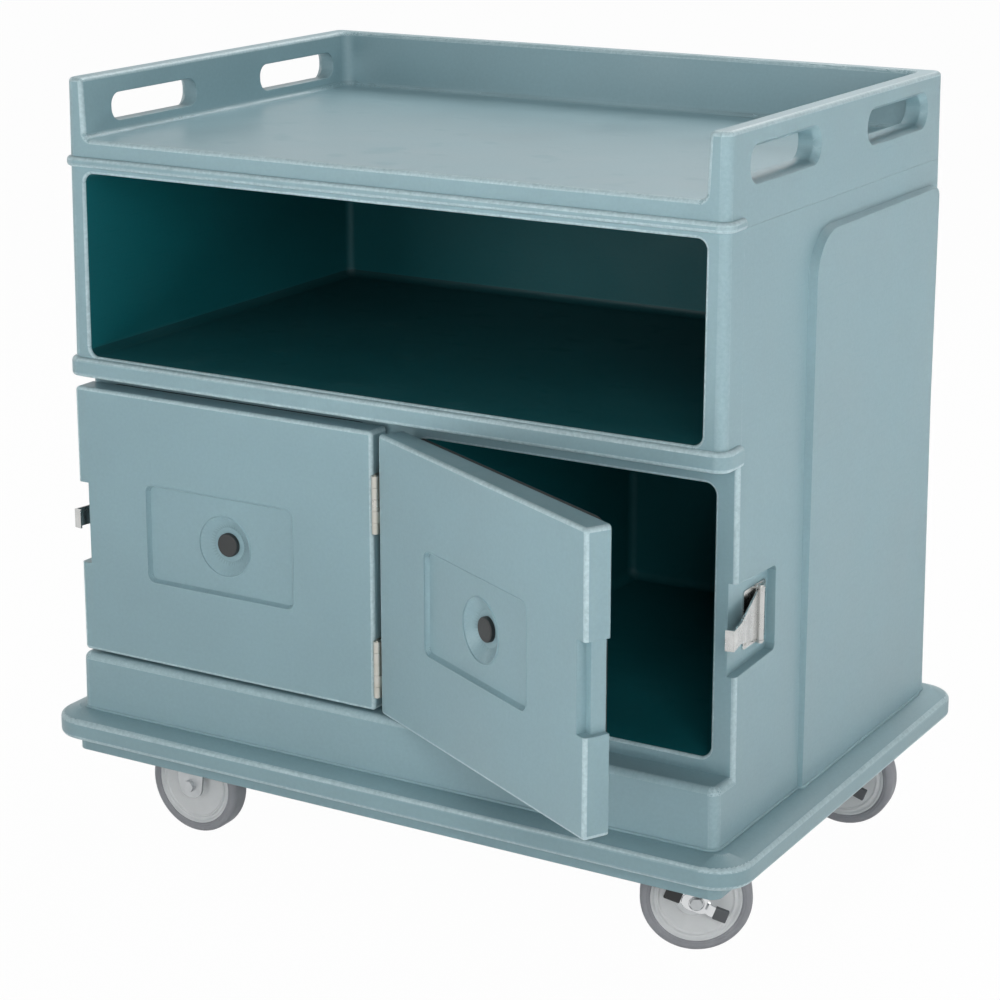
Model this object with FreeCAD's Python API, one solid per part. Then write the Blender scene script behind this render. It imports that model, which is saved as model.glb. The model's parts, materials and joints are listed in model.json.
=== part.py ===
import FreeCAD, Part
import math
import os

# Beverage cart: an insulated double-walled cabinet on a bumper base with four casters.
# Millimetres. The origin is on the floor under the middle of the cabinet, front towards -Y, +Z up.

V = FreeCAD.Vector
AXIS_X = V(1, 0, 0)
AXIS_Y = V(0, 1, 0)
AXIS_Z = V(0, 0, 1)
TOUCH = 0.001

# Cabinet: outline at the foot, moulding draft up to the rail top, and levels from the floor
cabinet_width = 1038.0
cabinet_depth = 708.0
foot_height = 199.0
cabinet_height = 1130.0
front_draft = 9.0
back_draft = 10.0
side_draft = 7.0
side_taper = 0.006
corner_radius = 14.0
skin = 5.0
round_steps = 4

# Top tray: deck, rails on three sides, hand slots and the moulded bead below its front edge
tray_height = 124.0
deck_thickness = 39.0
side_rail_thickness = 29.0
back_rail_thickness = 23.0
rail_draft = 4.0
rail_edge_radius = 6.0
deck_cove_radius = 9.0
deck_corner_radius = 18.0
slot_length = 200.0
slot_height = 40.0
slot_radius = 18.0
slot_spacing = 362.0
slot_below_middle = 5.5
slot_flare = 6.0
slot_flare_depth = 9.0
bead_height = 14.0
bead_reach = 6.0
bead_radius = 5.0

# Upper compartment and the shelf lip in front of it
wall = 31.0
back_wall = 28.0
compartment_floor_height = 735.0
ceiling_wall = 9.0
compartment_corner_radius = 14.0
hollow_back_radius = 12.0
mouth_radius = 4.0
lip_height = 28.0
lip_reach = 7.0
lip_drop = 3.0
lip_radius = 6.0

# Lower cabinet: door set-back, two cavities with a mullion between them, and the plinth
plinth_height = 86.0
plinth_edge_radius = 10.0
door_set_back = 49.0
set_back_corner_radius = 6.0
cavity_floor_height = 305.0
cavity_ceiling_height = 676.0
cavity_corner_radius = 16.0
mullion_width = 80.0
mullion_front_skin = 22.0

# Raised panel on the rear part of each side
panel_start = 252.0
panel_drop = 38.0
panel_end = 24.0
panel_proud = 6.0
panel_corner_radius = 62.0
panel_back_radius = 14.0
panel_bevel = 2.0
panel_root = 20.0

# Base: bumper flange all round, skirt below it and a pocket for the casters
bumper_reach_side = 39.0
bumper_reach_front = 33.0
bumper_reach_back = 44.0
bumper_corner_radius = 52.0
bumper_top_height = 190.0
bumper_bottom_height = 159.0
bumper_radius = 6.5
foot_margin = 3.0
skirt_bottom_height = 136.0
skirt_side_inset = 36.0
skirt_front_inset = 25.0
skirt_corner_radius = 16.0
skirt_thickness = 10.0
pocket_ceiling_height = 184.0

# Doors: both are hung at the middle of the cart and are the same moulding apart from the handing
door_thickness = 36.0
door_gap = 12.5
door_side_margin = 3.5
door_bottom_height = 290.0
door_top_height = 688.0
door_corner_radius = 6.0
door_edge_radius = 5.0
door_seal_gap = 9.0
door_skin = 6.0
door_hinge_skin = 20.0
door_plug_depth = 12.0
door_plug_clearance = 4.0
right_door_rest_angle = 28.0
gasket_width = 6.0
gasket_clearance = 0.3
gasket_offset = 4.5

# Sunk panel, dish and vent plug on the front of each door
sunk_panel_left = 121.0
sunk_panel_width = 254.0
sunk_panel_bottom = 123.0
sunk_panel_height = 146.0
sunk_panel_depth = 7.0
sunk_panel_radius = 12.0
sunk_panel_slope = 4.0
dish_radius = 44.0
dish_floor_radius = 25.0
dish_depth = 12.0
vent_rise = -1.0
vent_head_radius = 17.0
vent_head_height = 7.0
vent_head_dome = 2.5
vent_stem_radius = 6.0
vent_stem_length = 12.0
vent_clearance = 0.3

# Latch notch in the free edge of each door
notch_height = 122.0
notch_depth = 8.0
notch_step_depth = 10.0
notch_step_thickness = 14.0

# Hinges: two at the middle of the cart, each with one pin that carries both doors
hinge_height = 81.0
hinge_upper_drop = 100.0
hinge_lower_rise = 63.0
hinge_pin_radius = 2.0
hinge_knuckle_radius = 5.5
hinge_running_clearance = 0.06
hinge_knuckle_gap = 0.4
hinge_leaf_thickness = 1.5
hinge_leaf_depth = 34.0
hinge_leaf_relief = 7.0
hinge_flange_width = 32.0
hinge_flange_thickness = 2.0
hinge_screw_spacing_x = 21.0
hinge_screw_spacing_z = 54.0
hinge_pin_overhang = 1.0
hinge_pin_proud = 1.0

# Small countersunk screws
screw_shank_radius = 1.7
screw_head_radius = 3.2
screw_length = 12.0

# Side latches: a base plate with two ears, a pin and a hook that swings into the door notch
latch_height = 485.0
recess_depth = 12.0
recess_length = 117.0
recess_height = 130.0
recess_taper = 7.0
recess_radius = 8.0
latch_plate_length = 66.0
latch_plate_height = 80.0
latch_plate_thickness = 2.0
latch_plate_radius = 4.0
latch_plate_margin = 8.0
latch_pin_radius = 2.5
latch_pin_setback = 27.0
latch_pin_rise = 6.0
latch_pin_head_radius = 4.0
latch_pin_head_height = 2.0
latch_ear_radius = 5.5
latch_ear_thickness = 2.5
latch_ear_length = 22.0
latch_barrel_radius = 5.0
latch_barrel_length = 70.0
latch_running_clearance = 0.2
latch_side_clearance = 0.4
latch_hook_thickness = 2.5
latch_hook_width = 28.0
latch_hook_neck_length = 34.0
latch_hook_bite = 7.0
latch_hook_floor_clearance = 3.0
latch_hook_step_clearance = 3.0
latch_released_angle = 10.0

# Casters: two rigid ones at the left end, two swivel ones with brakes at the right end
rigid_caster_inset = 137.0
swivel_caster_inset = 119.0
caster_y = 256.0
caster_plate_length = 110.0
caster_plate_width = 90.0
caster_plate_thickness = 4.0
caster_plate_radius = 8.0
caster_bolt_spacing_x = 84.0
caster_bolt_spacing_y = 64.0
caster_bolt_radius = 4.0
caster_bolt_head_radius = 6.5
caster_bolt_head_height = 5.0
caster_bolt_depth = 11.0
wheel_radius = 76.2
tyre_width = 34.0
tyre_thickness = 14.0
tyre_shoulder_radius = 8.0
hub_width = 38.0
hub_boss_radius = 19.0
hub_web_thickness = 20.0
hub_rim_thickness = 7.0
hub_rim_width = 30.0
sleeve_radius = 7.0
sleeve_clearance = 0.08
axle_radius = 5.0
axle_head_radius = 9.0
axle_head_height = 6.0
axle_nut_height = 8.0
fork_leg_thickness = 4.0
fork_side_clearance = 2.0
fork_crown_thickness = 4.0
fork_leg_top_width = 64.0
fork_leg_tip_width = 38.0
fork_leg_tip_radius = 17.0
fork_trail = 40.0
swivel_crown_radius = 36.0
swivel_race_radius = 24.0
swivel_ball_radius = 4.0
swivel_ball_count = 14
swivel_clearance = 0.15
race_groove_depth = 1.2
kingpin_radius = 6.0
kingpin_clearance = 0.08
kingpin_head_radius = 11.0
kingpin_head_height = 4.0
front_swivel_rest_angle = 27.0
back_swivel_rest_angle = 6.0
pedal_length = 84.0
pedal_width = 15.0
pedal_thickness = 3.0
pedal_end_radius = 6.0
pedal_rest_angle = -21.0
pedal_side_clearance = 0.3
pedal_bend = 9.0
pedal_bend_start = 12.5

# Places that follow from the driving sizes
front_y = -cabinet_depth / 2
back_y = cabinet_depth / 2
tray_joint_height = cabinet_height - tray_height
deck_height = tray_joint_height + deck_thickness
slot_level = (deck_height + cabinet_height) / 2 - slot_below_middle
compartment_ceiling_height = tray_joint_height - ceiling_wall
set_back_y = front_y + door_set_back
plinth_top_height = foot_height + plinth_height
lip_top_height = compartment_floor_height - lip_drop
lip_bottom_height = lip_top_height - lip_height
door_back_y = set_back_y - door_seal_gap
door_front_y = door_back_y - door_thickness
pin_y = door_front_y - hinge_pin_proud
notch_bottom_height = latch_height - notch_height / 2
rigid_caster_x = cabinet_width / 2 - rigid_caster_inset
swivel_caster_x = cabinet_width / 2 - swivel_caster_inset
hinge_levels = [door_bottom_height + hinge_lower_rise, door_top_height - hinge_upper_drop]
sunk_floor_y = door_front_y + sunk_panel_depth
dish_floor_y = sunk_floor_y + dish_depth
vent_height = (door_bottom_height + sunk_panel_bottom + sunk_panel_height / 2) + vent_rise
hub_radius = wheel_radius - tyre_thickness
fork_inner = hub_width / 2 + fork_side_clearance
fork_outer = fork_inner + fork_leg_thickness
caster_plate_bottom = pocket_ceiling_height - caster_plate_thickness
swivel_crown_top = caster_plate_bottom - 2 * (swivel_ball_radius - race_groove_depth)


def outline(corners, radius, level=0.0):
    """Closed wire in a level plane: straight sides joined by a tangent arc at each corner."""
    radii = radius if isinstance(radius, list) else [radius] * len(corners)
    points = [V(x, y, level) for x, y in corners]
    starts = []
    middles = []
    ends = []
    for index, here in enumerate(points):
        to_last = (points[index - 1] - here).normalize()
        to_next = (points[(index + 1) % len(points)] - here).normalize()
        half_angle = to_last.getAngle(to_next) / 2
        reach = radii[index] / math.tan(half_angle)
        inward = (to_last + to_next).normalize()
        starts.append(here + to_last * reach)
        middles.append(here + inward * (radii[index] / math.sin(half_angle) - radii[index]))
        ends.append(here + to_next * reach)
    edges = []
    for index in range(len(points)):
        if radii[index] > 0:
            edges.append(Part.Arc(starts[index], middles[index], ends[index]).toShape())
        edges.append(Part.LineSegment(ends[index], starts[(index + 1) % len(points)]).toShape())
    return Part.Wire(edges)


def rectangle(x0, x1, y0, y1):
    """Corners of a rectangle, counter-clockwise."""
    return [(x0, y0), (x1, y0), (x1, y1), (x0, y1)]


def prism(corners, radius, bottom, top):
    """Upright prism with rounded corners."""
    return Part.Face(outline(corners, radius, bottom)).extrude(V(0, 0, top - bottom))


def tapered(sections):
    """Solid through level sections, each given as (corners, radius, level)."""
    return Part.makeLoft([outline(*section) for section in sections], True, True)


def drafted_block(low, high, bottom, top):
    """Block with flat drafted sides between one outline at the bottom and another at the top."""
    reach = 2 * cabinet_width
    block = box(-reach, reach, -reach, reach, bottom, top)
    for index, start in enumerate(low):
        follower = (index + 1) % len(low)
        end = low[follower]
        foot = V((start[0] + end[0]) / 2, (start[1] + end[1]) / 2, bottom)
        head = V((high[index][0] + high[follower][0]) / 2, (high[index][1] + high[follower][1]) / 2, top)
        along = V(end[0] - start[0], end[1] - start[1], 0).normalize() * reach
        slope = (head - foot).normalize() * reach
        corners = [foot - along - slope, foot + along - slope, foot + along + slope, foot - along + slope]
        side = Part.Face(Part.makePolygon(corners + corners[:1]))
        block = block.cut(side.extrude(along.cross(slope).normalize() * reach))
    return block


def rounded_uprights(block, front_radius, back_radius):
    """Round the edges of a block that run over its full height, at the front and then at the back."""
    height = block.BoundBox.ZLength
    middle = block.BoundBox.Center.y
    for side, radius in ((-1, front_radius), (1, back_radius)):
        uprights = [edge for edge in block.Edges if edge.BoundBox.ZLength > height - TOUCH]
        chosen = [edge for edge in uprights if side * (edge.CenterOfMass.y - middle) > 0]
        block = block.makeFillet(radius, chosen)
    return block


def facing_front(shape):
    """Stand a level shape up: its x stays X, its y becomes Z and its height becomes -Y."""
    return shape.transformed(FreeCAD.Placement(V(), FreeCAD.Rotation(AXIS_X, 90)).toMatrix())


def facing_right(shape):
    """Stand a level shape up: its x becomes Y, its y becomes Z and its height becomes X."""
    return shape.transformed(FreeCAD.Placement(V(), FreeCAD.Rotation(V(1, 1, 1), 120)).toMatrix())


def front_prism(corners, radius, front, back):
    """Prism from an outline in X and Z, between two planes across Y."""
    return facing_front(prism(corners, radius, -back, -front))


def side_prism(corners, radius, left, right):
    """Prism from an outline in Y and Z, between two planes across X."""
    return facing_right(prism(corners, radius, left, right))


def box(x0, x1, y0, y1, z0, z1):
    """Plain box between two corners."""
    return Part.makeBox(x1 - x0, y1 - y0, z1 - z0, V(x0, y0, z0))


def mirrored(shape):
    """The same shape on the other side of the middle plane."""
    return shape.mirror(V(), AXIS_X)


def fused(shapes):
    """One solid out of several that overlap or touch."""
    return shapes[0].multiFuse(shapes[1:]).removeSplitter()


def rounded_rim(shape, radius, axis_index, place):
    """Round every edge that lies in the plane where the given coordinate equals place."""
    lows = ("XMin", "YMin", "ZMin")
    highs = ("XMax", "YMax", "ZMax")
    rim = []
    for edge in shape.Edges:
        bounds = edge.BoundBox
        low = getattr(bounds, lows[axis_index])
        high = getattr(bounds, highs[axis_index])
        if abs(low - place) < TOUCH and abs(high - place) < TOUCH:
            rim.append(edge)
    return shape.makeFillet(radius, rim)


def countersunk_screw(head, direction, head_depth):
    """Screw with a flush conical head, its flat face at head."""
    cone = Part.makeCone(screw_head_radius, screw_shank_radius, head_depth, head, direction)
    shank = Part.makeCylinder(screw_shank_radius, screw_length, head, direction)
    return fused([cone, shank])


def cabinet_corners(level, grow):
    """Corners of the cabinet's outline at a level, with its draft, grown outwards on all sides."""
    share = (level - foot_height) / (cabinet_height - foot_height)
    front = front_y + front_draft * share
    back = back_y - back_draft * share
    half_front = cabinet_width / 2 - side_draft * share
    half_back = half_front + side_taper * (back - front)
    corners = [(-half_front - grow, front - grow), (half_front + grow, front - grow)]
    corners += [(half_back + grow, back + grow), (-half_back - grow, back + grow)]
    return corners


def half_width_at(level):
    """Half the cabinet's width at its front, at a level."""
    return cabinet_corners(level, 0)[1][0]


def back_at(level):
    """Where the cabinet's back face stands, at a level."""
    return cabinet_corners(level, 0)[2][1]


def sharp_block(bottom, top):
    """The cabinet's outer block between two levels, with sharp upright edges."""
    return drafted_block(cabinet_corners(bottom, 0), cabinet_corners(top, 0), bottom, top)


def cabinet_block(bottom, top):
    """The cabinet's outer block between two levels."""
    return rounded_uprights(sharp_block(bottom, top), corner_radius, corner_radius)


def quarter_steps(radius):
    """Points of a quarter round as (rise, inset) pairs, from the flat end up to the full width."""
    steps = []
    for index in range(round_steps + 1):
        angle = math.pi / 2 * index / round_steps
        steps.append((radius * (1 - math.cos(angle)), radius * (1 - math.sin(angle))))
    return steps


def rounded_steps(height, radius):
    """Levels and insets of a strip whose upper and lower edges are both rounded."""
    lower = quarter_steps(radius)
    upper = [(height - rise, inset) for rise, inset in reversed(lower)]
    return lower + upper


def moulded_strip(bottom, height, reach, radius):
    """Strip that stands proud round the front, with rounded edges, as far back as the set-back."""
    sections = []
    for rise, inset in rounded_steps(height, radius):
        grow = reach - inset
        corners = cabinet_corners(bottom + rise, grow)
        sections.append((corners, corner_radius + grow, bottom + rise))
    keep = box(-cabinet_width, cabinet_width, 2 * front_y, set_back_y, bottom, bottom + height)
    return tapered(sections).common(keep)


def hollow(x0, x1, z0, z1, radius, back):
    """Cutter for a compartment that opens to the front, with a rounded back."""
    cutter = front_prism(rectangle(x0, x1, z0, z1), radius, 2 * front_y, back)
    return rounded_rim(cutter, hollow_back_radius, 1, back)


def rounded_mouth(block, cutter, depth):
    """Hollow a block and round the edge of the new opening in its front, down to a depth from it."""
    cut = block.cut(cutter)
    front = block.BoundBox.YMin
    before = [edge.CenterOfMass for edge in block.Edges]
    rim = []
    for edge in cut.Edges:
        fresh = all(edge.CenterOfMass.distanceToPoint(point) > mouth_radius for point in before)
        if fresh and edge.BoundBox.YMax < front + depth:
            rim.append(edge)
    return cut.makeFillet(mouth_radius, rim)


def compartment_half():
    """Half the inner width of the compartments."""
    return half_width_at(compartment_floor_height) - wall


def hollow_back():
    """Plane of the compartments' back walls."""
    return back_at(cabinet_height) - back_wall


def recess_floor():
    """Plane of the latch recess in the right side wall."""
    return half_width_at(latch_height) - recess_depth


def latch_recess():
    """Cutter for the recess in the right side wall that holds the latch, open to the front."""
    half = recess_height / 2
    end = set_back_y + recess_length
    corners = [(front_y, latch_height - half), (end, latch_height - half + recess_taper)]
    corners += [(end, latch_height + half - recess_taper), (front_y, latch_height + half)]
    return side_prism(corners, [0, recess_radius, recess_radius, 0], recess_floor(), cabinet_width)


def side_panel():
    """Raised panel on the rear of the right side, with bevelled edges and one large round corner."""
    face = half_width_at(foot_height) + side_taper * panel_start + panel_proud
    start = front_y + panel_start
    end = back_at(cabinet_height) - panel_end
    top = tray_joint_height - panel_drop
    radii = [0, 0, panel_back_radius, panel_corner_radius]
    spread = panel_bevel * panel_root / panel_proud
    wide = [(start - spread, foot_height), (end + spread, foot_height)]
    wide += [(end + spread, top + spread), (start - spread, top + spread)]
    narrow = [(start, foot_height), (end, foot_height), (end, top), (start, top)]
    grown = [0, 0, panel_back_radius + spread, panel_corner_radius + spread]
    slope_start = face - panel_root
    plate = facing_right(tapered([(wide, grown, slope_start), (narrow, radii, face)]))
    keep = box(slope_start, cabinet_width, front_y, back_at(cabinet_height) - corner_radius, foot_height,
               tray_joint_height)
    return plate.common(keep)


def compartment_hollow():
    """Cutter for the open compartment under the tray."""
    half = compartment_half()
    return hollow(-half, half, compartment_floor_height, compartment_ceiling_height,
                  compartment_corner_radius, hollow_back())


def cavity_hollow():
    """Cutter for the right one of the two cavities behind the doors."""
    return hollow(mullion_width / 2, compartment_half(), cavity_floor_height, cavity_ceiling_height,
                  cavity_corner_radius, hollow_back())


def cabinet_core():
    """Block behind the doors, over the cabinet's full height, with all three hollows."""
    plans = []
    for level in (foot_height, tray_joint_height):
        half = half_width_at(level) + side_taper * door_set_back
        plans.append([(-half, set_back_y), (half, set_back_y)] + cabinet_corners(level, 0)[2:])
    core = drafted_block(plans[0], plans[1], foot_height, tray_joint_height)
    cavity = cavity_hollow()
    core = rounded_mouth(core, cavity, mouth_radius)
    core = rounded_mouth(core, mirrored(cavity), mouth_radius).cut(compartment_hollow())
    return rounded_uprights(core, set_back_corner_radius, corner_radius)


def cabinet_solid():
    """The whole cabinet: core behind the doors, plinth, head, shelf lip and side panels, hollowed."""
    plinth = cabinet_block(foot_height, plinth_top_height)
    plinth = rounded_rim(plinth, plinth_edge_radius, 2, plinth_top_height)
    plinth = plinth.common(box(-cabinet_width, cabinet_width, 2 * front_y, set_back_y + corner_radius,
                               foot_height, plinth_top_height))
    head = sharp_block(lip_bottom_height, tray_joint_height)
    head = rounded_mouth(head, compartment_hollow(), front_draft)
    head = rounded_uprights(head, corner_radius, corner_radius)
    head = head.common(box(-cabinet_width, cabinet_width, 2 * front_y, set_back_y + corner_radius,
                           lip_bottom_height, tray_joint_height))
    lip = moulded_strip(lip_bottom_height, lip_height, lip_reach, lip_radius)
    panel = side_panel()
    recess = latch_recess()
    body = fused([cabinet_core(), plinth, head, lip, panel, mirrored(panel)])
    return body.cut([recess, mirrored(recess)])


def cabinet_foam():
    """Foam between the cabinet's walls, one skin thickness inside them everywhere."""
    side = half_width_at(tray_joint_height) - skin
    inner_side = compartment_half() + skin
    back = back_at(cabinet_height) - skin
    inner_back = hollow_back() + skin
    front = set_back_y + skin
    low = foot_height + skin
    high = compartment_ceiling_height - skin
    shelf_low = cavity_ceiling_height + skin
    shelf_high = compartment_floor_height - skin
    mullion = mullion_width / 2 - skin
    plinth_side = side - corner_radius
    plinth_high = plinth_top_height - plinth_edge_radius
    plinth_front = front_y + front_draft + skin
    floor_high = cavity_floor_height - skin
    blocks = [box(-side, side, front, back, low, floor_high)]
    blocks.append(box(-plinth_side, plinth_side, plinth_front, front, low, plinth_high))
    blocks.append(box(-side, -inner_side, front, back, low, high))
    blocks.append(box(inner_side, side, front, back, low, high))
    blocks.append(box(-side, side, inner_back, back, low, high))
    blocks.append(box(-side, side, front, back, shelf_low, shelf_high))
    blocks.append(box(-mullion, mullion, set_back_y + mullion_front_skin, back, low, shelf_high))
    head_front = front_y + front_draft + skin
    head_side = side - corner_radius
    head_low = lip_bottom_height + skin
    blocks.append(box(-head_side, head_side, head_front, front, head_low, shelf_high))
    blocks.append(box(-head_side, -inner_side, head_front, front, head_low, high))
    blocks.append(box(inner_side, head_side, head_front, front, head_low, high))
    corner = box(side - corner_radius, side, back - corner_radius, back, low, high)
    column = Part.makeCylinder(corner_radius, high - low, V(side - corner_radius, back - corner_radius, low))
    corner = corner.cut(column)
    recess_low = latch_height - recess_height / 2 - skin
    recess_high = latch_height + recess_height / 2 + skin
    recess_end = set_back_y + recess_length + skin
    recess_inside = recess_floor() - screw_length
    recess_zone = box(recess_inside, cabinet_width, front_y, recess_end, recess_low, recess_high)
    return fused(blocks).cut([corner, mirrored(corner), recess_zone, mirrored(recess_zone)])


def hand_slot(middle_y):
    """Cutter for one hand slot through the right rail, flared at its outer face."""
    y0 = middle_y - slot_length / 2
    y1 = middle_y + slot_length / 2
    z0 = slot_level - slot_height / 2
    z1 = slot_level + slot_height / 2
    outer = half_width_at(slot_level) + side_taper * (middle_y - front_y)
    inside = outer - 2 * side_rail_thickness
    through = side_prism(rectangle(y0, y1, z0, z1), slot_radius, inside, cabinet_width)
    spread = slot_flare * (slot_flare_depth + skin) / slot_flare_depth
    wide = rectangle(y0 - spread, y1 + spread, z0 - spread, z1 + spread)
    narrow = rectangle(y0, y1, z0, z1)
    wide_radius = slot_radius + spread
    flare = tapered([(narrow, slot_radius, outer - slot_flare_depth), (wide, wide_radius, outer + skin)])
    return fused([through, facing_right(flare)])


def tray_well():
    """Cutter for the space between the rails, with a cove where they meet the deck."""
    sections = []
    for level, inset in ((deck_height, rail_draft), (cabinet_height, 0.0)):
        corners = cabinet_corners(level, 0)
        half_front = corners[1][0] - side_rail_thickness - inset
        half_back = corners[2][0] - side_rail_thickness - inset
        back = corners[2][1] - back_rail_thickness - inset
        well = [(-half_front, 2 * front_y), (half_front, 2 * front_y), (half_back, back), (-half_back, back)]
        sections.append((well, [0, 0, deck_corner_radius, deck_corner_radius], level))
    return rounded_rim(tapered(sections), deck_cove_radius, 2, deck_height)


def top_tray():
    """Deck with rails on three sides, hand slots in the side rails and a bead under the front edge."""
    block = cabinet_block(tray_joint_height, cabinet_height)
    tray = block.cut(tray_well())
    low = deck_height - rail_edge_radius
    front = cabinet_corners(low, 0)[0][1]
    half = half_width_at(low) - corner_radius
    rim = []
    for edge in tray.Edges:
        bounds = edge.BoundBox
        on_top = bounds.ZMin > cabinet_height - TOUCH
        on_front = bounds.YMax < front + front_draft and bounds.ZMin > low and abs(bounds.Center.x) < half
        if on_top or on_front:
            rim.append(edge)
    tray = tray.makeFillet(rail_edge_radius, rim)
    bead = moulded_strip(tray_joint_height, bead_height, bead_reach, bead_radius)
    cutters = []
    for middle in (-slot_spacing / 2, slot_spacing / 2):
        slot = hand_slot(middle)
        cutters.append(slot)
        cutters.append(mirrored(slot))
    void = box(-half, half, front + corner_radius, back_at(cabinet_height) - back_rail_thickness,
               tray_joint_height + skin, deck_height - skin)
    return fused([tray, bead]).cut(cutters).cut(void)


def base_outline(level, side_grow, end_grow, radius):
    """Outline of the base at a level, grown from the bumper's outer edge at the sides and the ends."""
    half = half_width_at(foot_height) + side_taper * cabinet_depth + bumper_reach_side + side_grow
    front = front_y - bumper_reach_front - end_grow
    back = back_y + bumper_reach_back + end_grow
    return (rectangle(-half, half, front, back), radius, level)


def base_moulding():
    """Bumper flange with a sloping top, the skirt under it and the caster pocket, in one moulding."""
    sections = []
    for rise, inset in rounded_steps(bumper_top_height - bumper_bottom_height, bumper_radius):
        radius = bumper_corner_radius - inset
        sections.append(base_outline(bumper_bottom_height + rise, -inset, -inset, radius))
    foot_inset = foot_margin - min(bumper_reach_side, bumper_reach_front)
    sections.append(base_outline(foot_height, foot_inset, foot_inset, corner_radius))
    bumper = tapered(sections)
    skirt_plan = base_outline(0, -skirt_side_inset, -skirt_front_inset, 0)[0]
    skirt = prism(skirt_plan, skirt_corner_radius, skirt_bottom_height, bumper_top_height)
    inner_side = skirt_side_inset + skirt_thickness
    inner_end = skirt_front_inset + skirt_thickness
    pocket_plan = base_outline(0, -inner_side, -inner_end, 0)[0]
    pocket = prism(pocket_plan, skirt_corner_radius - skirt_thickness, 0, pocket_ceiling_height)
    return fused([bumper, skirt]).cut(pocket)


def door_span(side):
    """Left and right ends of a closed door; side is 1 for the right door and -1 for the left one."""
    free = half_width_at(latch_height) - door_side_margin
    ends = (side * door_gap / 2, side * free)
    return min(ends), max(ends)


def door_opening(side):
    """Left and right edges of the cavity behind a door."""
    ends = (side * mullion_width / 2, side * compartment_half())
    return min(ends), max(ends)


def door_notch(side, margin):
    """Cutters for the latch notch in a door's free edge: a shallow step, deeper at the front."""
    free = max(door_span(1))
    low = notch_bottom_height - margin
    high = notch_bottom_height + notch_height + margin
    deep = free - notch_depth - notch_step_depth - margin
    shallow = free - notch_depth - margin
    step_y = door_front_y + notch_step_thickness + margin
    cutters = [box(shallow, cabinet_width, 2 * front_y, set_back_y, low, high)]
    cutters.append(box(deep, cabinet_width, 2 * front_y, step_y, low, high))
    return cutters if side > 0 else [mirrored(cutter) for cutter in cutters]


def vent_axis(side):
    """Where a door's vent plug meets the floor of its dish."""
    left, right = door_span(side)
    return V((left + right) / 2, dish_floor_y, vent_height)


def sunk_panel_cutters(side):
    """Cutters for a door's sunk panel with sloping walls, its round dish and the vent's bore."""
    left = door_span(side)[0] + sunk_panel_left
    right = left + sunk_panel_width
    low = door_bottom_height + sunk_panel_bottom
    high = low + sunk_panel_height
    slope = sunk_panel_slope
    wide = rectangle(left, right, low, high)
    narrow = rectangle(left + slope, right - slope, low + slope, high - slope)
    sections = [(narrow, sunk_panel_radius - slope, -sunk_floor_y), (wide, sunk_panel_radius, -door_front_y)]
    axis = vent_axis(side)
    dish = Part.makeCone(dish_floor_radius, dish_radius, dish_depth, axis, -AXIS_Y)
    bore_radius = vent_stem_radius + vent_clearance
    bore = Part.makeCylinder(bore_radius, vent_stem_length + vent_clearance, axis, AXIS_Y)
    return [facing_front(tapered(sections)), dish, bore]


def door_solid(side):
    """One closed door: slab with soft front edges, a plug that enters the cavity, panel and notch."""
    left, right = door_span(side)
    low = door_bottom_height
    high = door_top_height
    slab = front_prism(rectangle(left, right, low, high), door_corner_radius, door_front_y, door_back_y)
    slab = rounded_rim(slab, door_edge_radius, 1, door_front_y)
    x0, x1 = door_opening(side)
    inset = door_plug_clearance
    plug_plan = rectangle(x0 + inset, x1 - inset, cavity_floor_height + inset, cavity_ceiling_height - inset)
    plug = front_prism(plug_plan, cavity_corner_radius, door_back_y, door_back_y + door_plug_depth)
    return fused([slab, plug]).cut(sunk_panel_cutters(side) + door_notch(side, 0.0))


def door_foam(side):
    """Foam inside one door, clear of the sunk panel, the vent boss and the latch notch."""
    left, right = door_span(side)
    inset_left = door_hinge_skin if side > 0 else door_skin
    inset_right = door_skin if side > 0 else door_hinge_skin
    front = door_front_y + door_skin
    back = door_back_y - door_skin
    foam = box(left + inset_left, right - inset_right, front, back,
               door_bottom_height + door_skin, door_top_height - door_skin)
    panel_left = left + sunk_panel_left - door_skin
    panel_low = door_bottom_height + sunk_panel_bottom - door_skin
    panel_zone = box(panel_left, panel_left + sunk_panel_width + 2 * door_skin, front,
                     sunk_floor_y + door_skin, panel_low, panel_low + sunk_panel_height + 2 * door_skin)
    axis = vent_axis(side)
    boss = Part.makeCylinder(dish_radius + door_skin, cabinet_depth, V(axis.x, front_y, axis.z), AXIS_Y)
    return foam.cut([panel_zone, boss] + door_notch(side, door_skin))


def door_gasket(side):
    """Rubber seal on the back of one door, a ring round the plug that meets the cabinet's face."""
    x0, x1 = door_opening(side)
    inner = gasket_offset
    outer = gasket_offset + gasket_width
    front = door_back_y
    back = set_back_y - gasket_clearance
    rings = []
    for grow in (outer, inner):
        plan = rectangle(x0 - grow, x1 + grow, cavity_floor_height - grow, cavity_ceiling_height + grow)
        rings.append(front_prism(plan, cavity_corner_radius + grow, front, back))
    return rings[0].cut(rings[1])


def vent_plug(side):
    """Black push-in plug: a domed head in the dish and a stem in the door."""
    seat = vent_axis(side)
    head = Part.makeCylinder(vent_head_radius, vent_head_height, seat, -AXIS_Y)
    head = rounded_rim(head, vent_head_dome, 1, seat.y - vent_head_height)
    stem = Part.makeCylinder(vent_stem_radius, vent_stem_length, seat, AXIS_Y)
    return fused([head, stem])


def swung(shape, side):
    """Turn a piece of a door about its hinge pin to where the door stands at rest."""
    if side > 0:
        shape = shape.copy()
        shape.rotate(V(0, pin_y, 0), AXIS_Z, -right_door_rest_angle)
    return shape


def knuckle_spans(middle):
    """Five knuckles of one hinge from the bottom up: body, right, body, left, body."""
    length = (hinge_height - 4 * hinge_knuckle_gap) / 5
    low = middle - hinge_height / 2
    return [(low + index * (length + hinge_knuckle_gap), length) for index in range(5)]


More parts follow.
